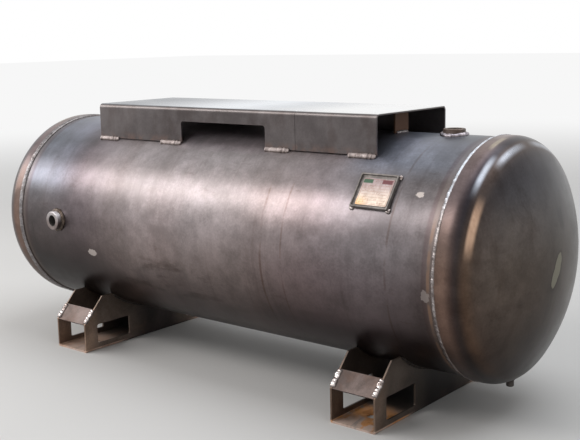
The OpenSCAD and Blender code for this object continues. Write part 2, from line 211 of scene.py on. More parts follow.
class Signal:
    """A node's output that can stand in a Python expression."""

    def __init__(self, board: "Board", socket: bpy.types.NodeSocket) -> None:
        """Wrap one output socket of a node on this board."""
        self.board = board
        self.socket = socket

    @property
    def is_vector(self) -> bool:
        """Tell whether the socket carries a vector."""
        return self.socket.type == "VECTOR"

    def twin(self, output: int | str) -> "Signal":
        """Return another output of the same node."""
        return Signal(self.board, self.socket.node.outputs[output])

    def calc(self, operation: str, *terms: Any) -> "Signal":
        """Add one maths node.

        Args:
            operation: The node's operation, as Blender names it.
            terms: The numbers or signals that go in, in order.

        Returns:
            The node's result.
        """
        kind = "ShaderNodeMath"
        if any(isinstance(term, Signal) and term.is_vector for term in terms):
            kind = "ShaderNodeVectorMath"
            terms = tuple((t,) * 3 if isinstance(t, (int, float)) else t for t in terms)
        return self.board.add(kind, {"operation": operation}, dict(enumerate(terms)))

    __add__ = operator("ADD")
    __radd__ = operator("ADD", swapped=True)
    __sub__ = operator("SUBTRACT")
    __rsub__ = operator("SUBTRACT", swapped=True)
    __mul__ = operator("MULTIPLY")
    __rmul__ = operator("MULTIPLY", swapped=True)
    __truediv__ = operator("DIVIDE")
    __pow__ = operator("POWER")
    least = operator("MINIMUM")
    most = operator("MAXIMUM")

    def __neg__(self) -> "Signal":
        """Return -self."""
        return self.calc("MULTIPLY", self, -1.0)

    def __abs__(self) -> "Signal":
        """Return the size of the value without its sign."""
        return self.calc("ABSOLUTE", self)

    def rise(self, low: float, high: float) -> "Signal":
        """Return 0 below low and 1 above high, smooth between them."""
        settings = {"interpolation_type": "SMOOTHSTEP"}
        return self.board.add("ShaderNodeMapRange", settings, {0: self, 1: low, 2: high, 3: 0.0, 4: 1.0})

    def bell(self, middle: float, half: float, soft: float) -> "Signal":
        """Return 1 within half of middle, falling to 0 over soft."""
        return 1.0 - abs(self - middle).rise(half, half + soft)


class Board:
    """A node tree while it is being wired, of a material or of Geometry Nodes."""

    def __init__(self, tree: bpy.types.NodeTree) -> None:
        """Take the tree to add nodes to."""
        self.tree = tree

    @classmethod
    def of(cls, owner: bpy.types.Material | bpy.types.World) -> "Board":
        """Return a board for the emptied tree of a material or a world."""
        owner.use_nodes = True
        owner.node_tree.nodes.clear()
        return cls(owner.node_tree)

    def add(
        self,
        kind: str,
        settings: dict[str, Any] | None = None,
        inputs: dict[int | str, Any] | None = None,
        output: int | str = 0,
    ) -> Signal | None:
        """Add one node.

        Args:
            kind: The node's type.
            settings: The node's properties, set first; stops are a ramp's stops.
            inputs: Values or signals by socket name or number.
            output: The output to return.

        Returns:
            That output, or None where the node has none.
        """
        node = self.tree.nodes.new(kind)
        for name, value in (settings or {}).items():
            if name == "stops":
                self._set_stops(node.color_ramp, value)
            else:
                setattr(node, name, value)
        for name, value in (inputs or {}).items():
            socket = node.inputs[name]
            if isinstance(value, Signal):
                self.tree.links.new(value.socket, socket)
            elif socket.type == "RGBA" and len(value) == 3:
                socket.default_value = (*value, 1.0)
            else:
                socket.default_value = value
        return Signal(self, node.outputs[output]) if len(node.outputs) else None

    @staticmethod
    def _set_stops(ramp: bpy.types.ColorRamp, stops: Sequence[tuple[float, Colour]]) -> None:
        """Give a ramp these stops, as position and colour."""
        ramp.interpolation = "CARDINAL"
        while len(ramp.elements) < len(stops):
            ramp.elements.new(0.5)
        for element, (place, colour) in zip(ramp.elements, stops):
            element.position = place
            element.color = (*colour, 1.0)

    def ramp(self, value: Signal, stops: Stops) -> Signal:
        """Return the colour at a value.

        Args:
            value: Where on the scale to read.
            stops: Places on the scale with their colours, in rising order.

        Returns:
            The colour, smooth between the stops.
        """
        first, last = stops[0][0], stops[-1][0]
        scaled = [((place - first) / (last - first), colour) for place, colour in stops]
        return self.add("ShaderNodeValToRGB", {"stops": scaled}, {0: (value - first) / (last - first)})

    def mix(self, factor: Any, first: Any, second: Any, blend: Blend = Blend.COVER) -> Signal:
        """Blend two colours.

        Args:
            factor: How much of the second colour shows, from 0 to 1.
            first: The colour below.
            second: The colour on top.
            blend: How they join.

        Returns:
            The blended colour.
        """
        settings = {"data_type": "RGBA", "blend_type": blend.value}
        return self.add("ShaderNodeMix", settings, {0: factor, 6: first, 7: second}, 2)

    def noise(
        self, place: Signal, scale: float, detail: float = 3.0, rough: float = 0.5, bend: float = 0.0
    ) -> Signal:
        """Return fractal noise from 0 to 1 about 0.5.

        Args:
            place: Where it is read.
            scale: Lumps in a metre.
            detail: Number of finer layers.
            rough: Strength of the finer layers.
            bend: Distortion.

        Returns:
            The noise value.
        """
        return self.add(
            "ShaderNodeTexNoise",
            {"noise_dimensions": "3D"},
            {"Vector": place, "Scale": scale, "Detail": detail, "Roughness": rough, "Distortion": bend},
        )

    def seen(self) -> Signal:
        """Return 1 for rays from the eye and from mirrors and glass, 0 for the light on matt surfaces."""
        eye = self.add("ShaderNodeLightPath", output="Is Camera Ray")
        return eye.most(eye.twin("Is Glossy Ray")).most(eye.twin("Is Transmission Ray"))


class Place:
    """Object coordinates in metres, with the angle round the tank's axis in degrees."""

    def __init__(self, board: Board) -> None:
        """Add the coordinate nodes to the board."""
        self.board = board
        self.point = board.add("ShaderNodeTexCoord", output="Object")
        self.x = board.add("ShaderNodeSeparateXYZ", inputs={0: self.point})
        self.y = self.x.twin(1)
        self.z = self.x.twin(2)
        self.turn = self.x.calc("ARCTAN2", -self.y, self.z - BARREL.axis) * math.degrees(1.0)

    def on(self, scale: Scale) -> Signal:
        """Return the coordinate that a scale stands for."""
        name, folded = scale.value
        return abs(getattr(self, name)) if folded else getattr(self, name)

    def scaled(self, *lumps: float) -> Signal:
        """Return the coordinates times lumps: along and around the unrolled sheet, or along x, y and z."""
        if len(lumps) == 3:
            return self.vector(self.x * lumps[0], self.y * lumps[1], self.z * lumps[2])
        along, around = lumps
        return self.vector(self.x * along, self.turn * (around * math.radians(BARREL.radius)), 0.0)

    def vector(self, x: Any, y: Any, z: Any) -> Signal:
        """Return a vector of three values."""
        return self.board.add("ShaderNodeCombineXYZ", inputs={0: x, 1: y, 2: z})


@dataclass(frozen=True)
class Span:
    """A soft-edged stretch of one scale."""

    scale: Scale
    fade: Fade
    numbers: tuple[float, ...]

    def mask(self, place: Place) -> Signal:
        """Return 1 within the stretch and 0 away from it."""
        value = place.on(self.scale)
        if self.fade is Fade.BELL:
            return value.bell(*self.numbers)
        mask = value.rise(*self.numbers)
        return 1.0 - mask if self.fade is Fade.FALL else mask


def rise(scale: Scale, low: float, high: float) -> Span:
    """Return the stretch above high, fading in from low."""
    return Span(scale, Fade.RISE, (low, high))


def fall(scale: Scale, low: float, high: float) -> Span:
    """Return the stretch below low, fading out toward high."""
    return Span(scale, Fade.FALL, (low, high))


def bell(scale: Scale, middle: float, half: float, soft: float) -> Span:
    """Return the stretch within half of middle, fading out over soft."""
    return Span(scale, Fade.BELL, (middle, half, soft))


@dataclass(frozen=True)
class Grain:
    """A noise over a skin, with the levels between which its marks fade in."""

    lumps: tuple[float, ...]
    low: float = 0.0
    high: float = 1.0
    detail: float = 4.0
    rough: float = 0.6
    bend: float = 0.0
    fade: Fade = Fade.RISE

    def noise(self, place: Place) -> Signal:
        """Return the noise itself, from 0 to 1 about 0.5."""
        return place.board.noise(place.scaled(*self.lumps), 1.0, self.detail, self.rough, self.bend)

    def mask(self, place: Place) -> Signal:
        """Return 1 on the marks and 0 between them."""
        mask = self.noise(place).rise(self.low, self.high)
        return 1.0 - mask if self.fade is Fade.FALL else mask


@dataclass(frozen=True)
class Zone:
    """A finish that a skin takes where all parts of the zone meet."""

    blend: Blend
    colour: Colour
    parts: tuple[Span | Grain, ...]
    by: float = 1.0
    rough: float | None = None
    metal: float | None = None

    def mask(self, place: Place) -> Any:
        """Return how much of the finish shows, from 0 to 1."""
        mask: Any = self.by
        for part in self.parts:
            mask = mask * part.mask(place)
        return mask


def shade(colour: Colour, *parts: Span | Grain, by: float = 1.0) -> Zone:
    """Return a zone that multiplies what is there."""
    return Zone(Blend.SHADE, colour, parts, by)


def cover(
    colour: Colour,
    *parts: Span | Grain,
    by: float = 1.0,
    rough: float | None = None,
    metal: float | None = None,
) -> Zone:
    """Return a zone that lies over what is there."""
    return Zone(Blend.COVER, colour, parts, by, rough, metal)


@dataclass(frozen=True)
class Run:
    """Shades along one scale, read with a drift so that their edges wander."""

    scale: Scale
    drift: float
    stops: Stops


@dataclass
class Coat:
    """What a finish has laid down so far."""

    board: Board
    colour: Any
    rough: Any
    metal: Any
    height: Any = 0.0

    def layer(
        self, mask: Any, colour: Any, rough: Any = None, metal: float | None = None, lift: float = 0.0
    ) -> None:
        """Lay one thing over what is there.

        Args:
            mask: Where it lies, from 0 to 1.
            colour: Its colour.
            rough: Its roughness, or None to keep what is below.
            metal: Its share of bare metal, or None.
            lift: Its height in metres.
        """
        self.colour = self.board.mix(mask, self.colour, colour)
        if rough is not None:
            self.rough = self.rough + mask * (rough - self.rough)
        if metal is not None:
            self.metal = self.metal + mask * (metal - self.metal)
        if lift:
            self.height = self.height + mask * lift

    def shade(self, mask: Any, amount: Any) -> None:
        """Multiply the colour by amount where the mask is 1."""
        self.colour = self.board.mix(mask, self.colour, amount, Blend.SHADE)

    def lay(self, place: Place, zones: Sequence[Zone]) -> None:
        """Lay zones one after another."""
        for zone in zones:
            if zone.blend is Blend.SHADE:
                self.shade(zone.mask(place), zone.colour)
            else:
                self.layer(zone.mask(place), zone.colour, zone.rough, zone.metal)


MADE: dict[str, bpy.types.Material] = {}


@dataclass(frozen=True)
class Steel:
    """Hot-rolled plate under mill scale, with clouds, grain, rust and the zones of its piece."""

    label: str
    dark: Colour
    light: Colour
    rough: float = 0.40
    metal: float = 0.85
    cloud: float = 3.0
    rust: float = 0.0
    rust_top: float = 0.2
    grain: float = 0.00004
    rust_colour: Colour = (0.15, 0.062, 0.026)
    drift: Grain = Grain((7.0, 7.0, 7.0), detail=3.0)
    runs: tuple[Run, ...] = ()
    zones: tuple[Zone, ...] = ()
    swell: Grain = Grain((5.0, 5.0, 5.0), detail=2.0, rough=0.5)
    swell_height: float = 0.0

    def material(self) -> bpy.types.Material:
        """Return the material of this finish, made once."""
        if self.label in MADE:
            return MADE[self.label]
        material = MADE[self.label] = bpy.data.materials.new(f"{self.label}_finish")
        board = Board.of(material)
        place = Place(board)
        coat = self.plate(board, place)
        self.weather(coat, place)
        relief = {"Strength": 1.0, "Distance": 1.0, "Height": coat.height}
        bump = board.add("ShaderNodeBump", inputs=relief, output="Normal")
        skin = {"Base Color": coat.colour, "Roughness": coat.rough, "Metallic": coat.metal, "Normal": bump}
        shader = board.add("ShaderNodeBsdfPrincipled", inputs=skin)
        board.add("ShaderNodeOutputMaterial", inputs={"Surface": shader})
        return material

    def plate(self, board: Board, place: Place) -> Coat:
        """Return the bare rolled plate: clouds, blotches and fine grain."""
        clouds = board.noise(place.point, self.cloud, 5.0, 0.55, 0.6)
        blotch = board.noise(place.point, 24.0, 4.0, 0.6)
        grain = board.noise(place.point, 170.0, 3.0, 0.6)
        tone = clouds * 0.6 + blotch * 0.25 + grain * 0.15
        colour = board.mix(tone.rise(0.36, 0.66), self.dark, self.light)
        rough = self.rough + (blotch - 0.5) * 0.16 + (grain - 0.5) * 0.10
        return Coat(board, colour, rough, self.metal + (blotch - 0.5) * 0.2, grain * self.grain)

    def weather(self, coat: Coat, place: Place) -> None:
        """Lay the long shades, the rust bloom, the zones and the swell of the sheet."""
        board = coat.board
        if self.runs:
            shift = self.drift.noise(place) - 0.5
            for run in self.runs:
                coat.shade(1.0, board.ramp(place.on(run.scale) + shift * run.drift, run.stops))
        if self.rust:
            patch = board.noise(place.point, 11.0, 6.0, 0.65, 0.4)
            low = 1.0 - place.z.rise(self.rust_top * 0.2, self.rust_top)
            mask = (patch + low * 0.25).rise(0.58, 0.80) * self.rust
            coat.layer(mask, self.rust_colour, 0.8, 0.1, 0.00006)
        coat.lay(place, self.zones)
        if self.swell_height:
            coat.height = coat.height + self.swell.noise(place) * self.swell_height


# tints of painted light: a bluish reflection and a highlight
COOL_REFLECTION: Colour = (0.86, 1.0, 1.12)
LIT: Colour = (1.75, 1.70, 1.75)
MARKING: Colour = (0.50, 0.34, 0.24)
WORN = Grain((30.0, 12.0), 0.38, 0.60, 3.0, 0.5)


@dataclass(frozen=True)
class ShellSteel(Steel):
    """The rolled shell: painted light and shade along and round it, handling bands, heat tint and ground
    spots.
    """

    drift: Grain = Grain((2.2, 3.0))
    runs: tuple[Run, ...] = (
        # painted reflection: lighter and darker stretches along the shell, darker toward both ends
        Run(X, 0.16, (
            (-0.80, (0.33, 0.33, 0.34)),
            (-0.68, (0.41, 0.41, 0.42)),
            (-0.50, (0.44, 0.41, 0.43)),
            (-0.34, (0.88, 0.86, 0.86)),
            (-0.14, (1.00, 0.99, 0.99)),
            (0.10, (0.88, 0.86, 0.85)),
            (0.28, (0.84, 0.80, 0.79)),
            (0.40, (0.74, 0.70, 0.71)),
            (0.52, (0.76, 0.76, 0.79)),
            (0.70, (0.52, 0.52, 0.53)),
            (0.80, (0.42, 0.40, 0.39)),
        )),
        # painted highlight band near 62 degrees, painted shade darkening toward the underside
        Run(ROUND, 9.0, (
            (0.0, (0.88, 0.92, 0.98)),
            (44.0, (0.96, 0.98, 1.00)),
            (54.0, (0.80, 0.80, 0.81)),
            (62.0, (0.98, 0.98, 1.00)),
            (72.0, (0.93, 0.92, 0.93)),
            (84.0, (0.90, 0.87, 0.87)),
            (100.0, (0.68, 0.63, 0.61)),
            (112.0, (0.47, 0.42, 0.40)),
            (126.0, (0.31, 0.265, 0.25)),
            (150.0, (0.22, 0.185, 0.17)),
        )),
    )
    zones: tuple[Zone, ...] = (
        # painted bluish reflection and painted highlights on the sheet beside the platform
        shade(COOL_REFLECTION, fall(X, -0.64, -0.50), fall(ROUND, 64.0, 82.0)),
        shade(COOL_REFLECTION, rise(X, 0.42, 0.53), fall(ROUND, 34.0, 48.0)),
        shade(LIT, bell(X, -0.80, 0.16, 0.12), fall(ROUND, 22.0, 40.0)),
        shade(LIT, bell(X, 0.66, 0.12, 0.12), bell(ROUND, 26.0, 8.0, 12.0), by=0.6),
        shade(LIT, bell(X, -0.01, 0.14, 0.05), bell(ROUND, 27.0, 5.0, 7.0)),
        # painted shade on the left belly, a painted highlight on the left shoulder, a lighter patch low in
        # the middle
        shade((0.55, 0.50, 0.48), fall(X, -0.70, -0.30), rise(ROUND, 94.0, 122.0)),
        shade((0.70, 0.66, 0.66), fall(X, -0.74, -0.56), rise(ROUND, 80.0, 118.0)),
        shade((1.28, 1.26, 1.26), bell(X, -0.16, 0.05, 0.09), bell(ROUND, 86.0, 14.0, 12.0)),
        shade((1.34, 1.32, 1.34), fall(X, -0.60, -0.42), bell(ROUND, 53.0, 9.0, 9.0)),
        # right half: a painted highlight band and painted shade darker toward the belly
        shade((1.34, 1.30, 1.29), rise(X, 0.14, 0.34), fall(X, 0.40, 0.66), bell(ROUND, 65.0, 5.0, 9.0)),
        shade((0.80, 0.77, 0.79), rise(X, 0.14, 0.34), rise(ROUND, 78.0, 100.0)),
        shade((0.62, 0.60, 0.62), rise(X, 0.14, 0.34), rise(ROUND, 112.0, 128.0)),
        # bands and stains of rolling and handling
        shade((0.66, 0.62, 0.60), Grain((7.0, 0.55), 0.44, 0.70), by=0.50),
        shade((0.60, 0.55, 0.53), Grain((46.0, 2.4), 0.52, 0.74, 3.0), by=0.28),
        shade((0.74, 0.70, 0.69), Grain((2.0, 9.0), 0.50, 0.68, bend=0.5), by=0.35),
        shade((0.46, 0.42, 0.39), Grain((8.0, 24.0), 0.48, 0.64, 5.0, 0.65), bell(TURN, 114.0, 7.0, 9.0),
              bell(X, -0.15, 0.16, 0.08), by=0.65),
        shade((0.60, 0.52, 0.48), Grain((8.0, 24.0), 0.60, 0.72, 5.0, 0.65), by=0.4),
        # marking-out lines
        *(shade(MARKING, bell(X, at, half, 0.003), WORN, by=by)
          for at, half, by in ((0.252, 0.0020, 0.55), (0.322, 0.0012, 0.35), (0.645, 0.0014, 0.40))),
        # heat tint beside the head welds
        cover((0.19, 0.145, 0.122), rise(OUT, 0.738, 0.766), by=0.34, rough=0.40),
        shade((0.58, 0.46, 0.50), bell(OUT, 0.752, 0.003, 0.007), by=0.45),
        cover((0.34, 0.19, 0.11), bell(X, 0.764, 0.002, 0.004), rise(TURN, 58.0, 74.0),
              replace(WORN, low=0.40, high=0.56), by=0.35, rough=0.45),
    )
    swell: Grain = Grain((3.4, 2.4), detail=2.0, rough=0.5)
    swell_height: float = 0.0016
    chips: tuple[tuple[float, ...], ...] = (
        (-0.443, 105.0, 0.018, 0.010, 0.75),
        (0.703, 52.0, 0.0085, 0.007, 0.8),
        (0.755, 97.0, 0.010, 0.013, 0.3),
    )
    chip_edge: float = 0.003

    def weather(self, coat: Coat, place: Place) -> None:
        """Lay the shades and zones, then the ground spots and chips."""
        super().weather(coat, place)
        ragged = (coat.board.noise(place.scaled(110.0, 110.0), 1.0, 3.0) - 0.5) * 0.022
        for x, turn, half_x, half_y, bare in self.chips:
            around = (place.turn - turn) * math.radians(BARREL.radius)
            reach = ((place.x - x) ** 2.0 + (around * (half_x / half_y)) ** 2.0) ** 0.5 + ragged
            mask = (1.0 - reach.rise(half_x, half_x + self.chip_edge)) * bare
            coat.layer(mask, (0.52, 0.46, 0.43), 0.5, 0.6)


GLINT: Colour = (0.42, 0.45, 0.51)


@dataclass(frozen=True)
class HeadSteel(Steel):
    """A pressed head: painted reflection bluish above, painted shade brown below, painted reflection bands
    on flange and knuckle.
    """

    runs: tuple[Run, ...] = (
        # painted reflection and shade: bluish and bright toward the top, brown and dark toward the bottom
        Run(Z, 0.10, (
            (0.09, (0.13, 0.10, 0.08)),
            (0.17, (0.28, 0.225, 0.19)),
            (0.30, (0.70, 0.60, 0.52)),
            (0.45, (0.84, 0.78, 0.71)),
            (0.57, (0.62, 0.64, 0.68)),
            (0.66, (0.80, 0.85, 0.95)),
            (0.72, (0.95, 0.97, 1.00)),
        )),
        # painted reflection bands across the flange and the knuckle, outward from the weld
        Run(OUT, 0.006, (
            (0.780, (0.78, 0.62, 0.58)),
            (0.804, (0.92, 0.72, 0.66)),
            (0.822, (0.52, 0.42, 0.42)),
            (0.834, (0.30, 0.27, 0.29)),
            (0.844, (0.48, 0.38, 0.33)),
            (0.854, (0.66, 0.52, 0.43)),
            (0.866, (0.54, 0.48, 0.45)),
            (0.888, (0.50, 0.48, 0.47)),
            (0.960, (0.48, 0.47, 0.46)),
        )),
    )
    zones: tuple[Zone, ...] = (
        # painted shade, a little bluish, on the upper knuckle; painted reflection making the flange lighter
        shade((0.55, 0.56, 0.60), fall(ROUND, 36.0, 58.0), bell(OUT, 0.843, 0.016, 0.012), by=0.30),
        shade((1.28, 1.28, 1.28), fall(OUT, 0.806, 0.824)),
        # the crown: painted shade above and away from the eye, a painted highlight near it
        shade((0.62, 0.62, 0.64), rise(OUT, 0.858, 0.872), rise(Z, 0.56, 0.64)),
        shade((0.58, 0.58, 0.58), rise(OUT, 0.858, 0.872), rise(Y, 0.08, 0.24)),
        shade((1.30, 1.28, 1.27), rise(OUT, 0.858, 0.872), bell(Y, -0.16, 0.05, 0.10),
              bell(Z, 0.44, 0.07, 0.10)),
        # painted reflections on the knuckle and the flange: two bluish glints, a tan streak and a tan spot
        *(cover(GLINT, bell(ROUND, at, half, 12.0), bell(OUT, out, 0.0010, 0.0085), by=0.62, rough=0.24)
          for at, half, out in ((37.5, 3.0, 0.8364), (16.5, 5.0, 0.8520))),
        cover((0.66, 0.44, 0.31), bell(ROUND, 64.0, 4.0, 13.0), bell(OUT, 0.8535, 0.0030, 0.0065), by=0.8,
              rough=0.28),
        cover((0.44, 0.38, 0.29), bell(ROUND, 13.5, 3.0, 7.0), bell(OUT, 0.813, 0.003, 0.006), by=0.6,
              rough=0.30),
        # clouds, wiping streaks and one smudge
        shade((0.66, 0.62, 0.60), Grain((13.0, 13.0, 13.0), 0.46, 0.68, 5.0, 0.65, 0.5), by=0.55),
        shade((0.62, 0.58, 0.55), Grain((9.0, 22.0, 5.0), 0.52, 0.70, bend=0.3), by=0.45),
        shade((0.62, 0.62, 0.64), bell(Y, 0.033, 0.006, 0.012), bell(Z, 0.518, 0.012, 0.022),
              rise(X, -0.1, 0.1), by=0.6),
    )
    swell_height: float = 0.0012
    flake_spot: Pair = (-0.010, 0.396)
    flake_half: Pair = (0.018, 0.042)
    flake_lean: float = 0.44

    def weather(self, coat: Coat, place: Place) -> None:
        """Lay the shades and zones, then the flake of bare scale low on the right head's crown."""
        super().weather(coat, place)
        ragged = (coat.board.noise(place.point, 36.0, 3.0) - 0.5) * 0.66
        side = place.x.rise(-0.1, 0.1)
        up = place.z - self.flake_spot[1]
        across = place.y - self.flake_spot[0] - up * self.flake_lean
        reach = ((up / self.flake_half[1]) ** 2.0 + (across / self.flake_half[0]) ** 2.0) ** 0.5 + ragged
        coat.shade((1.0 - reach.rise(1.0, 1.4)) * side * 0.5, (0.45, 0.40, 0.38))
        coat.layer((1.0 - reach.rise(0.90, 1.02)) * side * 0.9, (0.20, 0.188, 0.140), 0.5, 0.4)


PLATFORM_TOP = rise(Z, 0.7678, 0.7694)
SKIRT = replace(PLATFORM_TOP, fade=Fade.FALL)


@dataclass(frozen=True)
class PlatformSteel(Steel):
    """Platform plate: painted reflection on top, brighter to the right, matt on its skirts."""

    zones: tuple[Zone, ...] = (
        # painted highlight: a pale line along the fold below the top
        cover((0.30, 0.27, 0.26), bell(Z, 0.7635, 0.0012, 0.002), by=0.4, rough=0.34),
        shade((0.64, 0.57, 0.54), Grain((15.0, 3.0, 9.0), 0.46, 0.66), SKIRT, by=0.55),
        cover((0.17, 0.105, 0.085), Grain((30.0, 30.0, 30.0), 0.40, 0.62), fall(Z, 0.668, 0.690), by=0.5,
              rough=0.55, metal=0.5),
    )
    swell: Grain = Grain((6.0, 6.0, 6.0), detail=2.0, rough=0.5)
    swell_height: float = 0.0008
    smear: Grain = Grain((3.0, 12.0, 0.0))
    # painted reflection on the top face: dark at the left end, bright toward the right
    top: Stops = (
        (-0.53, (0.18, 0.192, 0.215)),
        (-0.40, (0.18, 0.196, 0.220)),
        (-0.20, (0.46, 0.48, 0.51)),
        (-0.02, (0.72, 0.75, 0.79)),
        (0.16, (0.56, 0.58, 0.61)),
        (0.34, (0.78, 0.78, 0.78)),
        (0.53, (0.80, 0.80, 0.80)),
    )

    def weather(self, coat: Coat, place: Place) -> None:
        """Lay the painted reflection of the top, then the painted highlight along the fold and the clouds of
        the skirts.
        """
        smear = self.smear.noise(place) - 0.5
        top = coat.board.ramp(place.x + smear * 0.12, self.top)
        coat.layer(PLATFORM_TOP.mask(place), top, 0.28 + smear * 0.22, 0.95)
        super().weather(coat, place)


BASE = (fall(Z, 0.0062, 0.0085), rise(DEEP, 0.12, 0.20))


@dataclass(frozen=True)
class SaddleSteel(Steel):
    """Dark saddle plate: painted shade under the tank, painted light at its ends, on the left saddle and on
    its base; rust on the base.
    """

    zones: tuple[Zone, ...] = (
        # painted shade: much darker under the tank, toward the middle of each saddle
        shade((0.15, 0.15, 0.17), fall(DEEP, 0.03, 0.22)),
        # painted light: brighter toward each saddle's front and rear ends
        shade((1.60, 1.44, 1.32), rise(DEEP, 0.24, 0.30)),
        # painted light: the left saddle brighter than the right
        shade((1.60, 1.58, 1.56), fall(X, -0.2, 0.2)),
        cover((0.085, 0.042, 0.024), Grain((9.0, 9.0, 9.0), 0.56, 0.74, 5.0, 0.65, 0.5), by=0.5, rough=0.7,
              metal=0.3),
        # painted light: the base between the webs made paler, where light comes in at the channel's ends
        cover((0.58, 0.44, 0.37), *BASE, by=0.95, rough=0.60, metal=0.10),
        cover((0.20, 0.20, 0.20), *BASE, Grain((16.0, 7.0, 0.0), 0.36, 0.46, bend=0.6, fade=Fade.FALL),
              by=0.7, rough=0.5, metal=0.4),
    )
    scale_marks: Grain = Grain((16.0, 7.0, 0.0), 0.50, 0.60, bend=0.6)
    stain: Grain = Grain((22.0, 22.0, 22.0), 0.36, 0.5, bend=0.4)
    rust_ring: Span = bell(DEEP, 0.20, 0.02, 0.06)

    def weather(self, coat: Coat, place: Place) -> None:
        """Lay the painted shade and light of the webs and base, then the orange rust and the grime of the
        bases.
        """
        super().weather(coat, place)
        rusty = self.scale_marks.mask(place).most(self.rust_ring.mask(place) * self.stain.mask(place))
        rusty = rusty * (0.22 + place.x.rise(-0.2, 0.2) * 0.66)
        for part in BASE:
            rusty = rusty * part.mask(place)
        coat.layer(rusty, (0.62, 0.27, 0.070), 0.70, 0.0)
        coat.lay(place, [shade((0.50, 0.42, 0.36), *BASE, replace(self.stain, low=0.50, high=0.66), by=0.6)])


@dataclass(frozen=True)
class WeldMetal(Steel):
    """Bare weld metal, bright on its ripples and tinted along its toes."""

    toe: Colour = (0.16, 0.12, 0.10)
    tint: float = 0.7
    soot: float = 0.55
    # a painted highlight laid on the upper part of the bead, where given
    crown: Colour | None = None

    def weather(self, coat: Coat, place: Place) -> None:
        """Tint the toes, which the bead carries as its own attribute."""
        across = coat.board.add("ShaderNodeAttribute", {"attribute_name": "across"}, output="Fac")
        # painted highlight on the upper half of a ring bead
        if self.crown:
            coat.layer(place.z.rise(0.54, 0.66), self.crown, 0.26, 0.95)
        coat.layer(abs(across).rise(0.55, 1.0) * self.tint, self.toe, 0.5, 0.7)
        coat.lay(place, [shade((0.42, 0.35, 0.32), Grain((55.0, 55.0, 55.0), 0.46, 0.66), by=self.soot)])


@dataclass(frozen=True)
class PlateMetal(Steel):
    """The data plate: brushed, warm metal with bare ruled fields."""

    middle_x: float = 0.580
    middle_up: float = -0.002
    turn: float = 53.0
    half: Pair = (0.045, 0.037)
    ink: Colour = (0.24, 0.085, 0.055)
    rules: tuple[float, ...] = (0.017, 0.009, 0.001, -0.007, -0.015, -0.023, -0.030)
    patches: tuple[tuple[float, float, Colour], ...] = (
        (-0.030, 0.0120, (0.012, 0.085, 0.035)),
        (0.026, 0.0130, (0.13, 0.018, 0.025)),
    )

    def weather(self, coat: Coat, place: Place) -> None:
        """Draw the border, the rules, the stains and the two corner patches."""
        turn = math.radians(self.turn)
        across = place.x - self.middle_x
        up = place.y * math.cos(turn) + (place.z - BARREL.axis) * math.sin(turn) - self.middle_up
        half_w, half_h = self.half
        # painted cool sheen: the plate darker and bluer toward its upper edge
        coat.shade(up.rise(-half_h, half_h), (0.52, 0.50, 0.60))
        warm = (1.0 - across.rise(-0.040, -0.004)) * (1.0 - up.rise(-0.034, -0.006))
        coat.layer(warm * 0.7, (0.72, 0.44, 0.17), 0.40)
        border = abs(across).bell(half_w - 0.003, 0.0006, 0.0005)
        border = border.most(abs(up).bell(half_h - 0.003, 0.0006, 0.0005))
        coat.layer(border * 0.45, self.ink, 0.5)
        inside = 1.0 - abs(across).rise(half_w - 0.008, half_w - 0.0075)
        for height in self.rules:
            coat.layer(up.bell(height, 0.0004, 0.0004) * inside * 0.35, self.ink, 0.5)
        strokes = coat.board.noise(place.vector(across * 210.0, up * 125.0, 0.0), 1.0, 2.0, 0.5)
        coat.layer(strokes.rise(0.56, 0.66) * inside * 0.35, self.ink, 0.5)
        for spot, width, colour in self.patches:
            patch = across.bell(spot, width, 0.0035) * up.bell(0.0285, 0.0042, 0.0022)
            coat.layer(patch * 0.92, colour, 0.45, 0.1)
        coat.lay(place, [shade((0.70, 0.60, 0.54), Grain((60.0, 60.0, 60.0), 0.5, 0.75), by=0.4)])


SHELL_STEEL = ShellSteel("shell_steel", (0.215, 0.192, 0.190), (0.450, 0.405, 0.410), 0.37, 0.9, 2.4)
HEAD_STEEL = HeadSteel("head_steel", (0.15, 0.137, 0.133), (0.27, 0.250, 0.244), 0.32, 0.92, 3.2)
PLATFORM_STEEL = PlatformSteel(
    "platform_steel", (0.078, 0.067, 0.067), (0.142, 0.126, 0.126), 0.45, 0.85, 3.5
)
PLATFORM_EDGE = Steel("platform_edge_steel", (0.025, 0.021, 0.020), (0.060, 0.052, 0.048), 0.50, 0.6, 22.0)
STAY_STEEL = Steel(
    "stay_steel", (0.033, 0.026, 0.022), (0.066, 0.054, 0.047), 0.5, 0.7, 20.0, rust=0.6, rust_top=4.0
)
SADDLE_STEEL = SaddleSteel("saddle_steel", (0.070, 0.053, 0.043), (0.150, 0.116, 0.095), 0.45, 0.75, 8.0)
EDGE_STEEL = Steel("saddle_edge_steel", (0.06, 0.05, 0.045), (0.16, 0.13, 0.12), 0.42, 0.7, 22.0)
END_PLATE_STEEL = Steel(
    "end_plate_steel", (0.055, 0.042, 0.038), (0.150, 0.115, 0.105), 0.40, 0.8, 14.0, rust=0.25
)
FRONT_SOCKET = Steel(
    "front_socket_steel", (0.36, 0.335, 0.335), (0.62, 0.585, 0.590), 0.32, 0.95, 40.0,
    # painted shade on the socket's lower half, a painted highlight on its upper side beside the face
    zones=(
        shade((0.50, 0.44, 0.42), fall(Z, 0.404, 0.440)),
        cover((1.00, 0.98, 1.00), rise(Z, 0.404, 0.440), rise(Y, -0.3264, -0.3250), by=0.9, rough=0.40),
    ),
)
RUSTY_SOCKET = Steel(
    "rusty_socket_steel", (0.07, 0.062, 0.058), (0.16, 0.15, 0.145), 0.45, 0.8, 40.0, rust=0.35, rust_top=4.0
)
DARK_SOCKET = Steel("dark_socket_steel", (0.045, 0.038, 0.034), (0.090, 0.078, 0.070), 0.45, 0.8, 40.0)
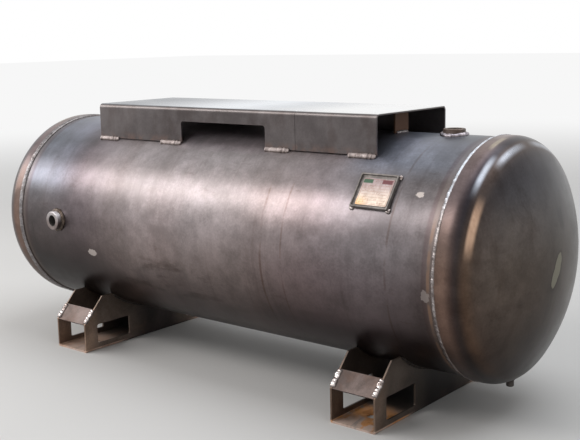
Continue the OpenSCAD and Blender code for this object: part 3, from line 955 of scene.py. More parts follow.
# painted shade: the bores of the sockets finished very dark
BORE_SHADE = Steel("bore_shade", (0.020, 0.017, 0.015), (0.050, 0.042, 0.037), 0.6, 0.4, 40.0)
TRAY_STEEL = Steel("tray_steel", (0.12, 0.107, 0.100), (0.26, 0.236, 0.22), 0.42, 0.55, 40.0)
PLATE_METAL = PlateMetal("plate_metal", (0.50, 0.41, 0.34), (0.74, 0.63, 0.54), 0.36, 0.75, 45.0)

# the right girth bead takes a bluish painted highlight along its top
RIGHT_GIRTH = WeldMetal(
    "right_girth_weld", (0.17, 0.150, 0.148), (0.44, 0.40, 0.395), 0.36, 0.9, 40.0,
    tint=0.75, soot=0.60, crown=(0.84, 0.90, 1.00),
)
LEFT_GIRTH = WeldMetal(
    "left_girth_weld", (0.16, 0.148, 0.15), (0.34, 0.320, 0.325), 0.36, 0.9, 60.0, tint=0.4
)
PLAIN_WELD = WeldMetal("plain_weld", (0.10, 0.09, 0.09), (0.30, 0.28, 0.28), 0.36, 0.9, 60.0)
SOOTY_WELD = WeldMetal("sooty_weld", (0.018, 0.014, 0.012), (0.070, 0.058, 0.048), 0.50, 0.6, 60.0)
STITCH_WELD = WeldMetal(
    "stitch_weld", (0.24, 0.195, 0.185), (0.46, 0.40, 0.385), 0.50, 0.5, 60.0, soot=0.35
)
GLINT_WELD = WeldMetal(
    "glint_weld", (0.20, 0.16, 0.15), (0.80, 0.74, 0.72), 0.24, 0.97, 75.0, toe=(0.06, 0.04, 0.03), soot=0.8
)
FRONT_WELD = WeldMetal(
    "front_socket_weld", (0.040, 0.030, 0.026), (0.16, 0.125, 0.10), 0.34, 0.9, 70.0,
    toe=(0.045, 0.035, 0.03), soot=0.8,
)
TOP_WELD = WeldMetal("top_socket_weld", (0.22, 0.21, 0.24), (0.46, 0.41, 0.43), 0.30, 0.95, 40.0, soot=0.4)


class Shaping:
    """Mesh work that the sub-assemblies share, with its limit angles in radians."""

    FLAT = math.radians(0.6)
    CREASE = math.radians(35.0)
    RIM = math.radians(28.0)

    @staticmethod
    def keep(name: str, mesh: bpy.types.Mesh, finishes: Sequence[Steel]) -> bpy.types.Object:
        """Make an object of a mesh.

        Args:
            name: The piece's name.
            mesh: Its mesh, already in place.
            finishes: The finishes of its material slots.

        Returns:
            The object, linked to the scene.
        """
        mesh.materials.clear()
        for finish in finishes:
            mesh.materials.append(finish.material())
        return linked(name, mesh)

    @staticmethod
    def lathe(
        section: Sequence[Pair],
        segments: int,
        place: Callable[[float, float, float], Vector],
        closed: bool = True,
    ) -> bpy.types.Mesh:
        """Turn a section into a closed mesh.

        Args:
            section: Points as distance along the axis and radius; radius 0 is a pole.
            segments: Number of steps round the axis.
            place: Gives a point's position from along, radius and angle.
            closed: Whether the last point joins the first.

        Returns:
            The mesh, with its faces outwards.
        """
        work = bmesh.new()
        rings = []
        for along, radius in section:
            if radius < 1e-7:
                rings.append([work.verts.new(place(along, 0.0, 0.0))] * segments)
            else:
                step = math.tau / segments
                rings.append([work.verts.new(place(along, radius, step * i)) for i in range(segments)])
        last = len(rings) if closed else len(rings) - 1
        for j in range(last):
            low, high = rings[j], rings[(j + 1) % len(rings)]
            for i in range(segments):
                k = (i + 1) % segments
                corners = list(dict.fromkeys((low[i], low[k], high[k], high[i])))
                if len(corners) > 2:
                    work.faces.new(corners)
        bmesh.ops.recalc_face_normals(work, faces=work.faces)
        if work.calc_volume(signed=True) < 0.0:
            bmesh.ops.reverse_faces(work, faces=work.faces)
        mesh = bpy.data.meshes.new("turned")
        work.to_mesh(mesh)
        work.free()
        return mesh

    @staticmethod
    def applied(piece: bpy.types.Object) -> None:
        """Turn the piece's modifiers into mesh, and take them off."""
        bpy.context.view_layer.update()
        graph = bpy.context.evaluated_depsgraph_get()
        mesh = bpy.data.meshes.new_from_object(piece.evaluated_get(graph), depsgraph=graph)
        piece.modifiers.clear()
        piece.data = mesh

    @staticmethod
    def drill(
        piece: bpy.types.Object, middle: Vector, direction: Vector, radius: float, depth: float
    ) -> None:
        """Cut a round hole through a piece.

        Args:
            piece: The piece to cut.
            middle: A point on the hole's axis, on the skin.
            direction: The hole's axis.
            radius: The hole's radius.
            depth: How far the cut reaches on both sides of middle.
        """
        turn = direction.to_track_quat("Z", "Y").to_matrix()

        def ring(along: float, reach: float, angle: float) -> Vector:
            """Place a point of the cutter."""
            return middle + turn @ Vector((reach * math.cos(angle), reach * math.sin(angle), along))

        section = ((-depth, 0.0), (-depth, radius), (depth, radius), (depth, 0.0))
        cutter = linked("cutter", Shaping.lathe(section, 64, ring, False))
        cut = piece.modifiers.new("hole", "BOOLEAN")
        cut.operation, cut.solver, cut.object = "DIFFERENCE", "EXACT", cutter
        Shaping.applied(piece)
        bpy.data.objects.remove(cutter)

    @staticmethod
    def smooth(mesh: bpy.types.Mesh, rule: Callable[[Vector], Vector]) -> None:
        """Shade a mesh with the exact normals of its skins, and its other faces flat.

        Args:
            mesh: The mesh.
            rule: Gives the outward direction of the skins at a point.
        """
        mesh.shade_smooth()
        normals = []
        for face in mesh.polygons:
            for index in face.vertices:
                way = rule(mesh.vertices[index].co)
                match = face.normal.dot(way)
                if abs(match) < 0.9:
                    normals.append(face.normal.copy())
                else:
                    normals.append(way if match > 0 else -way)
        mesh.normals_split_custom_set(normals)

    @staticmethod
    def dressed(
        node: str,
        name: str,
        finishes: Sequence[Steel],
        pick: Callable[[Vector, Vector], int] | None = None,
        bevel: float = 0.0007,
    ) -> None:
        """Make a piece from a copy of a CAD node, with its edges eased, and mount it in the node's place.

        Args:
            node: The node's name.
            name: The piece's name.
            finishes: The finishes of its material slots.
            pick: Gives a face's slot from its middle and its normal.
            bevel: Width of the eased edges.
        """
        work = bmesh.new()
        work.from_mesh(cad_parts[node].data)
        bmesh.ops.remove_doubles(work, verts=work.verts, dist=1e-5)
        bmesh.ops.dissolve_limit(work, angle_limit=Shaping.FLAT, verts=work.verts, edges=work.edges)
        for face in work.faces:
            face.material_index = pick(face.calc_center_median(), face.normal) if pick else 0
            face.smooth = True
        mesh = bpy.data.meshes.new(name)
        work.to_mesh(mesh)
        work.free()
        piece = Shaping.keep(name, mesh, finishes)
        ease = piece.modifiers.new("ease", "BEVEL")
        ease.width, ease.segments, ease.limit_method = bevel, 2, "ANGLE"
        ease.angle_limit, ease.harden_normals = Shaping.CREASE, False
        weighted = piece.modifiers.new("shade", "WEIGHTED_NORMAL")
        weighted.keep_sharp = False
        Shaping.applied(piece)
        Shaping.mount(piece, node)

    @staticmethod
    def mount(piece: bpy.types.Object, node: str) -> None:
        """Ride a piece on the tank's root body in the place of a node, and hide the node."""
        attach(piece, "root")
        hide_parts(node)
        LOG.info("%s stands for %s", piece.name, node)


@dataclass(frozen=True)
class Bead:
    """Sizes of a weld bead: its cap, its ripples and how unsteady the hand was."""

    width: float
    height: float
    pitch: float = 0.004
    ripple: float = 0.0006
    wander: float = 0.0015
    taper: float = 0.004
    seed: int = 1


class BeadTree:
    """Geometry Nodes that run a rippled bead along edges that carry their up direction."""

    SIZES = tuple(field.name.title() for field in fields(Bead))
    STEPS = 5
    PROFILE = 14

    def __init__(self) -> None:
        """Build the tree."""
        self.tree = bpy.data.node_groups.new("weld_bead_tree", "GeometryNodeTree")
        face = self.tree.interface
        face.new_socket("Geometry", in_out="INPUT", socket_type="NodeSocketGeometry")
        for name in self.SIZES:
            face.new_socket(name, in_out="INPUT", socket_type="NodeSocketFloat")
        face.new_socket("Material", in_out="INPUT", socket_type="NodeSocketMaterial")
        face.new_socket("Geometry", in_out="OUTPUT", socket_type="NodeSocketGeometry")
        board = Board(self.tree)
        given = board.add("NodeGroupInput")
        size = {name: given.twin(name) for name in self.SIZES}
        sweep = {0: self.spine(board, given, size), 1: self.profile(board), "Fill Caps": False}
        shape = board.add("GeometryNodeCurveToMesh", inputs=sweep)
        shape = board.add("GeometryNodeSetPosition", inputs={0: shape, "Offset": self.offset(board, size)})
        shape = board.add("GeometryNodeSetShadeSmooth", inputs={0: shape})
        shape = board.add("GeometryNodeRealizeInstances", inputs={0: shape})
        shape = board.add("GeometryNodeSetMaterial", inputs={0: shape, "Material": given.twin("Material")})
        board.add("NodeGroupOutput", inputs={0: shape})

    @staticmethod
    def named(board: Board, name: str, kind: str = "FLOAT") -> Signal:
        """Read a named attribute."""
        return board.add("GeometryNodeInputNamedAttribute", {"data_type": kind}, {"Name": name})

    @staticmethod
    def store(board: Board, shape: Signal, name: str, value: Any, kind: str = "FLOAT") -> Signal:
        """Store a named attribute on the points of a shape."""
        settings = {"data_type": kind, "domain": "POINT"}
        inputs = {0: shape, "Name": name, "Value": value}
        return board.add("GeometryNodeStoreNamedAttribute", settings, inputs)

    def upward(self, board: Board) -> Signal:
        """Return the way that the bead stands up."""
        way = self.named(board, "up", "FLOAT_VECTOR")
        return board.add("ShaderNodeVectorMath", {"operation": "NORMALIZE"}, {0: way})

    def spine(self, board: Board, given: Signal, size: dict[str, Signal]) -> Signal:
        """Wire the path.

        Args:
            board: The tree's board.
            given: The edges that come in.
            size: The tree's inputs by name.

        Returns:
            The resampled path, with its run, its side and how full the bead is stored on it.
        """
        path = board.add("GeometryNodeMeshToCurve", inputs={0: given})
        steps = {"Curve": path, "Length": size["Pitch"] / self.STEPS}
        path = board.add("GeometryNodeResampleCurve", {"mode": "LENGTH"}, steps)
        up = self.upward(board)
        path = board.add("GeometryNodeSetCurveNormal", {"mode": "FREE"}, {"Curve": path, "Normal": up})
        run = board.add("GeometryNodeSplineParameter", output="Length")
        length = board.add("GeometryNodeSplineLength")
        tangent = board.add("GeometryNodeInputTangent")
        side = board.add("ShaderNodeVectorMath", {"operation": "CROSS_PRODUCT"}, {0: tangent, 1: up})
        taper = size["Taper"]
        full = (run.least(length - run) / taper.most(0.0001)).least(1.0).most(0.0)
        full = (1.0 - (1.0 - full) ** 2.0) ** 0.5
        full = 1.0 - taper.calc("GREATER_THAN", taper, 0.00005) * (1.0 - full)
        path = self.store(board, path, "run", run)
        path = self.store(board, path, "side", side, "FLOAT_VECTOR")
        return self.store(board, path, "full", full)

    def profile(self, board: Board) -> Signal:
        """Return a round profile shrunk to a point, with its shape stored on it."""
        round_one = {"Resolution": self.PROFILE, "Radius": 1.0}
        ring = board.add("GeometryNodeCurvePrimitiveCircle", inputs=round_one)
        spot = board.add("ShaderNodeSeparateXYZ", inputs={0: board.add("GeometryNodeInputPosition")})
        ring = self.store(board, ring, "across", spot)
        ring = self.store(board, ring, "above", spot.twin(1))
        return board.add("GeometryNodeSetPosition", inputs={0: ring, "Position": spot * 0.0})

    def offset(self, board: Board, size: dict[str, Signal]) -> Signal:
        """Return how far each point of the swept path moves out to form the rippled cap."""
        across, above, run, full = (self.named(board, name) for name in ("across", "above", "run", "full"))
        side = self.named(board, "side", "FLOAT_VECTOR")
        phase = (run - (1.0 - across * across) * size["Pitch"] * 0.9) / size["Pitch"]
        cell = phase.calc("FLOOR", phase)
        part = phase - cell
        one = {"noise_dimensions": "1D"}
        chance = board.add("ShaderNodeTexWhiteNoise", one, {"W": cell + size["Seed"] * 17.3})
        slow = board.add("ShaderNodeTexNoise", one, {"W": run * 38.0 + size["Seed"] * 7.7, "Detail": 1.0})
        scallop = (part * (1.0 - part) * 4.0) ** 0.6
        rise_up = size["Height"] * above * (0.88 + chance * 0.2)
        ripple = size["Ripple"] * above.most(0.0)
        rise_up = rise_up + ripple * (scallop - 0.5) + ripple * (chance - 0.5) * 1.5
        wide = size["Width"] * 0.5 * (0.92 + (chance - 0.5) * 0.22 + scallop * 0.08)
        drift = (slow - 0.5) * size["Wander"]
        return self.upward(board) * (rise_up * full) + side * (across * wide * full + drift * full)

    def lay(
        self,
        name: str,
        node: str,
        paths: Sequence[Sequence[Along]],
        finish: Steel,
        bead: Bead,
        closed: bool = False,
    ) -> None:
        """Lay beads along paths as one piece, and mount it.

        Args:
            name: The piece's name.
            node: The node that it stands for.
            paths: Each path's points, with the way that the bead stands up there.
            finish: The bead's finish.
            bead: The bead's sizes.
            closed: Whether each path runs back to its start.
        """
        mesh = bpy.data.meshes.new(name)
        points, edges = [], []
        for path in paths:
            first = len(points)
            points += [point for point, _ in path]
            edges += [(i, i + 1) for i in range(first, len(points) - 1)]
            if closed:
                edges.append((len(points) - 1, first))
        mesh.from_pydata(points, edges, [])
        ways = mesh.attributes.new("up", "FLOAT_VECTOR", "POINT")
        for i, (_, way) in enumerate(step for path in paths for step in path):
            ways.data[i].vector = way.normalized()
        piece = linked(name, mesh)
        modifier = piece.modifiers.new("bead", "NODES")
        modifier.node_group = self.tree
        values: dict[str, Any] = {key.title(): float(value) for key, value in vars(bead).items()}
        values["Material"] = finish.material()
        if closed:
            values["Taper"] = 0.0
        for item in self.tree.interface.items_tree:
            if item.in_out == "INPUT" and item.name in values:
                modifier[item.identifier] = values[item.name]
        Shaping.applied(piece)
        self._close(piece.data)
        Shaping.mount(piece, node)

    @staticmethod
    def _close(mesh: bpy.types.Mesh) -> None:
        """Merge the pinched ends and turn the faces outwards."""
        work = bmesh.new()
        work.from_mesh(mesh)
        bmesh.ops.remove_doubles(work, verts=work.verts, dist=2e-6)
        loose = [edge for edge in work.edges if len(edge.link_faces) == 1]
        if loose:
            bmesh.ops.holes_fill(work, edges=loose, sides=0)
        bmesh.ops.recalc_face_normals(work, faces=work.faces)
        work.to_mesh(mesh)
        work.free()


@dataclass
class Shell:
    """The rolled shell and its lengthwise seam."""

    spans: int = 32
    seam_turn: float = -100.0
    seam_sink: float = 0.0001
    seam_stop: float = 0.009
    seam: Bead = Bead(0.013, 0.0024, 0.005, 0.0005, 0.001, 0.006, 3)

    def build(self, beads: BeadTree) -> None:
        """Make the shell and the seam's bead."""
        steps = spread(-BARREL.length / 2, BARREL.length / 2, self.spans)
        section = [(x, BARREL.radius) for x in steps]
        section += [(x, BARREL.radius - BARREL.wall) for x in reversed(steps)]
        mesh = Shaping.lathe(section, BARREL.segments, BARREL.turned)
        piece = Shaping.keep("rolled_shell", mesh, [SHELL_STEEL])
        FRONT_PORT.drill(piece)
        TOP_PORT.drill(piece)
        Shaping.smooth(piece.data, self.outward)
        Shaping.mount(piece, "shell")
        reach = BARREL.edge - self.seam_stop
        out = BARREL.out(self.seam_turn)
        path = [(BARREL.at(x, self.seam_turn, -self.seam_sink), out) for x in spread(-reach, reach, 40)]
        beads.lay("lengthwise_seam", "shell_seam_weld", [path], PLAIN_WELD, self.seam)

    @staticmethod
    def outward(spot: Vector) -> Vector:
        """Return the outward direction at a point of the shell."""
        return Vector((0.0, spot.y, spot.z - BARREL.axis)).normalized()


@dataclass
class Heads:
    """The two dished heads, lapped over the shell, and the welds round them."""

    outer_steps: tuple[int, int, int] = (30, 44, 4)
    inner_steps: tuple[int, int, int] = (12, 16, 2)
    bead_steps: int = 180
    toe: Pair = (0.7715, 0.3050)
    cap: Pair = (0.7855, 0.3108)
    bead: Bead = Bead(0.0130, 0.0022, 0.0052, 0.0005, 0.0018, 0.0, 5)

    @property
    def crown_angle(self) -> float:
        """Angle at which the knuckle meets the crown."""
        return math.asin((BARREL.head_radius - BARREL.knuckle) / (BARREL.crown - BARREL.knuckle))

    @property
    def crown_middle(self) -> float:
        """Distance of the crown's centre from the tangent line, along the tank."""
        return -(BARREL.crown - BARREL.knuckle) * math.cos(self.crown_angle)

    def skin(self, inset: float, knuckle_steps: int, crown_steps: int, flange_steps: int) -> list[Pair]:
        """Return the section of one skin from the edge to the pole.

        Args:
            inset: How far the skin lies within the outside.
            knuckle_steps: Steps round the knuckle.
            crown_steps: Steps over the crown.
            flange_steps: Steps along the flange.

        Returns:
            Points as distance along the tank and radius.
        """
        radius = BARREL.head_radius - inset
        rows = [(x, radius) for x in spread(BARREL.edge, BARREL.tangent, flange_steps)]
        middle = BARREL.head_radius - BARREL.knuckle
        bend = BARREL.knuckle - inset
        for turn in spread(math.pi / 2, self.crown_angle, knuckle_steps)[1:]:
            rows.append((BARREL.tangent + bend * math.cos(turn), middle + bend * math.sin(turn)))
        dish = BARREL.crown - inset
        for turn in spread(self.crown_angle, 0.0, crown_steps)[1:]:
            rows.append((BARREL.tangent + self.crown_middle + dish * math.cos(turn), dish * math.sin(turn)))
        return rows

    def outward(self, spot: Vector) -> Vector:
        """Return the outward direction at a point of a head."""
        along = Vector((math.copysign(1.0, spot.x), 0.0, 0.0))
        reach = abs(spot.x) - BARREL.tangent
        radius = math.hypot(spot.y, spot.z - BARREL.axis)
        across = Vector((0.0, spot.y, spot.z - BARREL.axis))
        across = across.normalized() if radius > 1e-6 else Vector((0, 0, 0))
        fall_in = radius - (BARREL.head_radius - BARREL.knuckle)
        if reach <= 0.0:
            return across
        if math.atan2(reach, fall_in) < math.pi / 2 - self.crown_angle:
            return (along * reach + across * fall_in).normalized()
        return (along * (reach - self.crown_middle) + across * radius).normalized()

    def build(self, beads: BeadTree) -> None:
        """Make both heads and the beads that close them."""
        section = self.skin(0.0, *self.outer_steps) + self.skin(BARREL.wall, *self.inner_steps)[::-1]
        for end in End:
            name, sign = end.name.lower(), end.value
            rows = [(sign * along, radius) for along, radius in section]
            mesh = Shaping.lathe(rows, BARREL.segments, BARREL.turned)
            piece = Shaping.keep(f"{name}_dished_head", mesh, [HEAD_STEEL])
            if end is End.RIGHT:
                DRAIN_PORT.drill(piece)
            Shaping.smooth(piece.data, self.outward)
            Shaping.mount(piece, f"{name}_head")
            finish = RIGHT_GIRTH if end is End.RIGHT else LEFT_GIRTH
            path = circle(self.bead_steps, lambda turn, s=sign: self.corner(turn, s))
            beads.lay(f"{name}_girth_bead", f"{name}_head_weld", [path], finish, self.bead, True)

    def corner(self, turn: float, sign: float) -> Along:
        """Return a point of the bead between a head's edge and the shell, and the way that it stands up."""
        toe, cap = Vector(self.toe), Vector(self.cap)
        middle = (toe + cap) / 2
        slope = (cap - toe).normalized()
        out = Vector((0.0, math.sin(turn), math.cos(turn)))
        spot = Vector((sign * middle.x, 0, BARREL.axis)) + out * middle.y
        return spot, Vector((-sign * slope.y, 0, 0)) + out * slope.x


@dataclass
class Platform:
    """The folded platform in two sections, its stays and its stitch welds."""

    half: float = 0.527
    skirt: float = 0.165
    foot: float = 0.2599
    notch: Pair = (-0.166, 0.158)
    stitch: float = 0.087
    leg: float = 0.008
    sink: Pair = (0.0012, 0.0006)
    stay_x: float = 0.491
    stay_t: float = 0.006
    stay_w: float = 0.054
    stay_leg: float = 0.0018
    bead: Bead = Bead(0.0145, 0.0040, 0.0060, 0.0011, 0.0030, 0.006, 11)
    stay_bead: Bead = Bead(0.009, 0.0025, 0.005, 0.0008, 0.001, 0.006, 12)

    @staticmethod
    def cut_face(middle: Vector, normal: Vector) -> int:
        """Return 1 on the flame-cut edges of the channel, 0 on its skins."""
        return int(abs(normal.x) > 0.7 or (normal.z < -0.7 and middle.z < 0.74))

    def build(self, beads: BeadTree) -> None:
        """Make the two sections, the stays and all their welds."""
        finishes = [PLATFORM_STEEL, PLATFORM_EDGE]
        for end in End:
            name = end.name.lower()
            Shaping.dressed(f"platform_{name}_section", f"platform_{name}_channel", finishes, self.cut_face)
            Shaping.dressed(f"{name}_stay", f"{name}_stay_bar", [STAY_STEEL])
        half, (left, right) = self.stitch / 2, self.notch
        middles = (half - self.half, left - half, right + half, self.half - half)
        for flank in Flank:
            name = flank.name.lower()
            paths = [self.stitch_path(middle, flank.value) for middle in middles]
            beads.lay(f"{name}_stitches", f"{name}_skirt_welds", paths, STITCH_WELD, self.bead)
        paths = [self.stay_path(end.value * self.stay_x, face) for end in End for face in (-1.0, 1.0)]
        beads.lay("stay_beads", "stay_welds", paths, PLAIN_WELD, self.stay_bead)

    def stitch_path(self, middle: float, side: float) -> list[Along]:
        """Return the path of one stitch at a skirt's foot."""
        outer = self.skirt + self.leg
        high = Vector((self.skirt, self.foot + self.leg))
        low = Vector((outer, BARREL.skin(outer)))
        spot = (high + low) / 2 - Vector(self.sink)
        slope = (low - high).normalized()
        way = Vector((0.0, side * -slope.y, slope.x))
        half = self.stitch / 2
        return [
            (Vector((x, side * spot.x, BARREL.axis + spot.y)), way)
            for x in spread(middle - half, middle + half, 24)
        ]

    def stay_path(self, x: float, face: float) -> list[Along]:
        """Return the path of the bead on one face of a stay."""
        here = x + face * (self.stay_t / 2 + self.stay_leg)
        return [
            (Vector((here, y, BARREL.axis + BARREL.skin(y) + self.stay_leg)), Vector((face, 0.0, 1.0)))
            for y in spread(-self.stay_w / 2, self.stay_w / 2, 16)
        ]


@dataclass
class Saddles:
    """The two folded saddles, their sloping end plates and their welds."""

    pitch: float = 1.1
    width: float = 0.138
    half_length: float = 0.310
    front_height: float = 0.091
    top_height: float = 0.170
    shoulder: float = 0.235
    plate_length: float = 0.058
    contact: float = 39.0
    cradle_leg: float = 0.0016
    slope_inset: float = 0.0048
    slope_sink: float = 0.0012
    slope_ends: Pair = (0.003, 0.002)
    plate_bead: Bead = Bead(0.0175, 0.0056, 0.0095, 0.0026, 0.0036, 0.004, 21)
    shell_bead: Bead = Bead(0.0085, 0.0024, 0.0055, 0.0007, 0.001, 0.006, 22)

    @staticmethod
    def cut_face(middle: Vector, normal: Vector) -> int:
        """Return 1 on the flame-cut edges of the webs and the base, 0 on their skins."""
        if middle.z < 0.009:
            return int(abs(normal.y) > 0.7)
        return int(abs(normal.x) < 0.3)

    def build(self, beads: BeadTree) -> None:
        """Make both saddles with their plates and welds."""
        for saddle in End:
            node = f"{saddle.name.lower()}_saddle"
            name = saddle.name.lower()
            Shaping.dressed(node, f"{node}_channel", [SADDLE_STEEL, EDGE_STEEL], self.cut_face)
            for flank in Flank:
                end = flank.name.lower()
                plate = f"{name}_{end}_slope_plate"
                Shaping.dressed(f"{node}_{end}_plate", plate, [END_PLATE_STEEL], bevel=0.001)
            x = saddle.value * self.pitch / 2
            paths = [self.slope_path(x, flank.value, edge) for flank in Flank for edge in (-1.0, 1.0)]
            beads.lay(f"{name}_slope_beads", f"{node}_plate_welds", paths, GLINT_WELD, self.plate_bead)
            paths = [self.cradle_path(x, edge) for edge in (-1.0, 1.0)]
            beads.lay(f"{name}_cradle_beads", f"{node}_shell_welds", paths, SOOTY_WELD, self.shell_bead)

    def slope_path(self, x: float, end: float, edge: float) -> list[Along]:
        """Return the path of the bead beside one end plate."""
        slope = Vector((0.0, end * (self.shoulder - self.half_length), self.top_height - self.front_height))
        up = slope.normalized()
        out = Vector((0.0, end * up.z, abs(up.y)))
        here = x + edge * (self.width / 2 - self.slope_inset)
        foot = Vector((here, end * self.half_length, self.front_height))
        start, stop = self.slope_ends
        runs = spread(start, self.plate_length - stop, 16)
        return [(foot + up * run - out * self.slope_sink, out) for run in runs]

    def cradle_path(self, x: float, edge: float) -> list[Along]:
        """Return the path of the bead under the shell along one web."""
        here = x + edge * (self.width / 2 + self.cradle_leg)
        return [
            (BARREL.at(here, turn, self.cradle_leg), Vector((edge, 0.0, 0.0)) + BARREL.out(turn))
            for turn in spread(180.0 - self.contact, 180.0 + self.contact, 60)
        ]


@dataclass
class Sockets:
    """The three sockets and the beads round them."""

    inside: float = 0.011
    ease: float = 0.0015
    thread: float = 0.0022
    thread_depth: float = 0.35
    bead_steps: int = 72
    weld_off: float = 0.0028
    weld_lift: float = 0.0022
    drain_steps: int = 48
    drain_off: float = 0.0008
    drain_lift: float = 0.0006
    bead: Bead = Bead(0.0125, 0.0040, 0.0065, 0.0012, 0.002, 0.0, 31)
    drain_bead: Bead = Bead(0.0042, 0.0013, 0.003, 0.0003, 0.0004, 0.0, 33)

    def build(self, beads: BeadTree) -> None:
        """Make the sockets and their welds."""
        for name, port, finish, weld, seed in (
            ("front", FRONT_PORT, FRONT_SOCKET, FRONT_WELD, 41),
            ("top", TOP_PORT, RUSTY_SOCKET, TOP_WELD, 42),
        ):
            self.ring(f"{name}_half_coupling", port, finish)
            path = circle(self.bead_steps, lambda turn, p=port: self.saddle_point(turn, p))
            bead = replace(self.bead, seed=seed)
            beads.lay(f"{name}_coupling_bead", f"{port.node}_weld", [path], weld, bead, True)
        self.ring("drain_half_coupling", DRAIN_PORT, DARK_SOCKET)
        path = circle(self.drain_steps, self.knuckle_point)
        beads.lay("drain_coupling_bead", "drain_socket_weld", [path], SOOTY_WELD, self.drain_bead, True)

    def ring(self, name: str, port: Port, finish: Steel) -> None:
        """Turn one socket with eased rims and a threaded bore.

        Args:
            name: The piece's name.
            port: Its place and sizes.
            finish: Its finish.
        """
        ease, low, stand = self.ease, -self.inside, port.stand
        section = [(low, port.radius), (0.0, port.radius), (stand - ease, port.radius)]
        section += [(stand, port.radius - ease), (stand, port.bore + ease * 0.6)]
        pitch = self.thread * min(1.0, port.radius / 0.02)
        for i in range(int((stand - low - 2 * ease) / pitch)):
            top = stand - ease - pitch * i
            section += [(top, port.bore), (top - pitch / 2, port.bore - pitch * self.thread_depth)]
        section += [(low, port.bore)]
        turn = port.way.to_track_quat("Z", "Y").to_matrix()
        mesh = Shaping.lathe(
            section, 96, lambda a, r, t: port.spot + turn @ Vector((r * math.cos(t), r * math.sin(t), a))
        )
        piece = Shaping.keep(name, mesh, [finish, BORE_SHADE])
        # the bore's faces take the bore's painted shade
        for face in mesh.polygons:
            away = face.center - port.spot
            face.material_index = int((away - port.way * away.dot(port.way)).length < port.bore + 0.0004)
        mesh.shade_smooth()
        mesh.set_sharp_from_angle(angle=Shaping.RIM)
        Shaping.mount(piece, port.node)

    def saddle_point(self, turn: float, port: Port) -> Along:
        """Return a point of the bead where a socket leaves the shell, and the way that it stands up."""
        side = Vector((1.0, 0.0, 0.0))
        away = side * math.cos(turn) + port.way.cross(side) * math.sin(turn)
        flat = port.spot + away * (port.radius + self.weld_off)
        foot = Vector((flat.x, 0, BARREL.axis))
        across = flat - foot
        across -= port.way * across.dot(port.way)
        return foot + across + port.way * (BARREL.skin(across.length) + self.weld_lift), away + port.way

    def knuckle_point(self, turn: float) -> Along:
        """Return a point of the bead where the drain leaves the head, and the way that it stands up."""
        lean = Vector((DRAIN_X - BARREL.tangent, 0.0, -BARREL.knuckle_fall(DRAIN_X))).normalized()
        away = Vector((math.cos(turn), math.sin(turn), 0.0))
        flat = away * (DRAIN_PORT.radius + self.drain_off)
        drop = Vector((0, 0, 1)) * (flat.dot(lean) / lean.z)
        return DRAIN_PORT.spot + flat - drop + lean * self.drain_lift, away + lean


@dataclass
class DataPlate:
    """The tray on the shell's shoulder, the plate in it and the tacks that hold it."""

    x: float = 0.578
    turn: float = 53.0
    half: Pair = (0.055, 0.047)
    clear: float = 0.001
    tack: float = 0.009
    lift: float = 0.002
    bead: Bead = Bead(0.0085, 0.0034, 0.004, 0.0008, 0.001, 0.004, 51)

    def build(self, beads: BeadTree) -> None:
        """Make the tray, the plate and the tacks."""
        Shaping.dressed("data_plate_tray", "plate_tray", [TRAY_STEEL], bevel=0.0009)
        Shaping.dressed("data_plate", "ruled_data_plate", [PLATE_METAL], bevel=0.0004)
        paths = [self.tack_path(sx, sy) for sx in (-1.0, 1.0) for sy in (-1.0, 1.0)]
        beads.lay("plate_tacks", "data_plate_welds", paths, GLINT_WELD, self.bead)

    def tack_path(self, right: float, above: float) -> list[Along]:
        """Return the path of the tack that turns round one corner of the tray."""
        turn = math.radians(self.turn)
        up = Vector((0.0, math.cos(turn), math.sin(turn)))
        way = Vector((right, 0, 0)) * 0.5 + up * above * 0.5 + BARREL.out(self.turn)
        path = []
        for run in spread(-self.tack, self.tack, 8):
            along = self.half[0] + self.clear + min(0.0, -run)
            high = self.half[1] + self.clear + min(0.0, run)
            arc = math.degrees(above * high / BARREL.radius)
            path.append((BARREL.at(self.x + right * along, self.turn - arc, self.lift), way))
        return path


@dataclass(frozen=True)
class Lamp:
    """One soft rectangular lamp, its long side along the tank; its power is in watts."""

    name: str
    spot: Point
    aim: Point
    size: Pair
    power: float
    colour: Colour

    def hang(self) -> None:
        """Hang the lamp."""
        light = bpy.data.lights.new(self.name, "AREA")
        light.shape, light.size, light.size_y = "RECTANGLE", *self.size
        light.energy, light.color = self.power, self.colour
        lamp = linked(self.name, light)
        back = (Vector(self.spot) - Vector(self.aim)).normalized()
        long = (Vector((1, 0, 0)) - back * back.x).normalized()
        axes = Matrix((long, back.cross(long), back)).transposed().to_4x4()
        lamp.matrix_world = Matrix.Translation(self.spot) @ axes


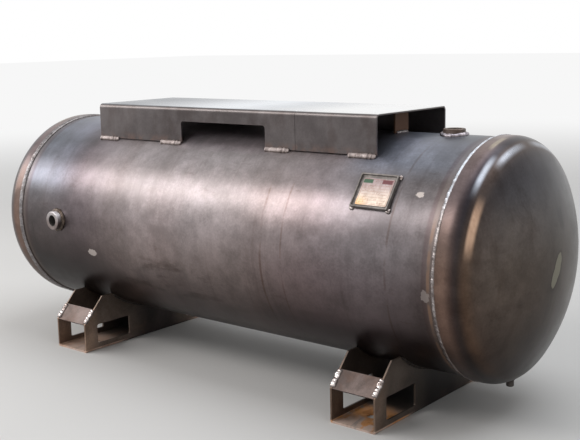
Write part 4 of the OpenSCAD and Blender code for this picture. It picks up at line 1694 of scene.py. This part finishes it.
@dataclass
class Studio:
    """Floor, light and camera."""

    eye: Point = (1.95833, -2.21943, 0.96290)
    yaw: float = -0.69621
    pitch: float = 0.18028
    roll: float = 0.02187
    focal: float = 1005.18
    image_width: float = 580.0
    floor_half: float = 40.0
    floor_far: Pair = (1.6, 9.0)
    floor_glow: float = 0.93
    dim_sky: float = 0.45
    lamps: tuple[Lamp, ...] = (
        Lamp("window_strip", (-2.7, -2.35, 2.65), (0.0, -0.1, 0.45), (5.6, 1.3), 110.0, (1.0, 0.97, 0.95)),
        Lamp("ceiling_fill", (1.2, 0.8, 4.2), (0.2, 0.0, 0.4), (3.5, 3.5), 90.0, (0.94, 0.97, 1.0)),
    )

    def build(self) -> None:
        """Set up everything round the tank."""
        self.world()
        self.floor()
        for lamp in self.lamps:
            lamp.hang()
        self.camera()
        bpy.context.scene.view_settings.view_transform = "Standard"

    def world(self) -> None:
        """Give a white surround to the eye and to reflections, and a dimmer one to matt surfaces."""
        world = bpy.data.worlds.new("studio")
        bpy.context.scene.world = world
        board = Board.of(world)
        strength = self.dim_sky + board.seen() * (1.0 - self.dim_sky)
        sky = {"Color": (1.0, 1.0, 1.0), "Strength": strength}
        board.add("ShaderNodeOutputWorld", inputs={"Surface": board.add("ShaderNodeBackground", inputs=sky)})

    def floor(self) -> None:
        """Lay the plain pale floor, which brightens to the surround far away."""
        half = self.floor_half
        mesh = bpy.data.meshes.new("floor")
        corners = [(-half, -half, 0), (half, -half, 0), (half, half, 0), (-half, half, 0)]
        mesh.from_pydata(corners, [], [(0, 1, 2, 3)])
        material = bpy.data.materials.new("floor_paint")
        board = Board.of(material)
        place = board.add("ShaderNodeTexCoord", output="Object")
        colour = board.mix(board.noise(place, 0.8, 2.0), (0.62, 0.615, 0.605), (0.68, 0.675, 0.665))
        paint = board.add("ShaderNodeBsdfPrincipled", inputs={"Base Color": colour, "Roughness": 0.8})
        white = {"Color": (1.0, 1.0, 1.0), "Strength": self.floor_glow}
        glow = board.add("ShaderNodeEmission", inputs=white)
        far = board.add("ShaderNodeVectorMath", {"operation": "LENGTH"}, {0: place}, 1).rise(*self.floor_far)
        shader = board.add("ShaderNodeMixShader", inputs={0: far * board.seen(), 1: paint, 2: glow})
        board.add("ShaderNodeOutputMaterial", inputs={"Surface": shader})
        mesh.materials.append(material)
        linked("floor", mesh)

    def camera(self) -> None:
        """Stand the camera where the photograph was taken."""
        cy, sy = math.cos(self.yaw), math.sin(self.yaw)
        cp, sp = math.cos(self.pitch), math.sin(self.pitch)
        forward = Vector((sy * cp, cy * cp, -sp))
        level = Vector((cy, -sy, 0.0))
        down = forward.cross(level)
        right = level * math.cos(self.roll) + down * math.sin(self.roll)
        low = down * math.cos(self.roll) - level * math.sin(self.roll)
        lens = bpy.data.cameras.new("eye")
        lens.sensor_fit, lens.sensor_width = "HORIZONTAL", 36.0
        lens.lens = self.focal * lens.sensor_width / self.image_width
        lens.clip_start = 0.05
        eye = linked("eye", lens)
        axes = Matrix((right, -low, -forward)).transposed().to_4x4()
        eye.matrix_world = Matrix.Translation(self.eye) @ axes
        bpy.context.scene.camera = eye


def main() -> None:
    """Build the tank's pieces and the studio, in order."""
    logging.basicConfig(level=logging.INFO, format="%(name)s: %(message)s")
    beads = BeadTree()
    for part in (Shell(), Heads(), Platform(), Saddles(), Sockets(), DataPlate()):
        part.build(beads)
        LOG.info("%s done", type(part).__name__)
    Studio().build()


if __name__ == "__main__":
    main()
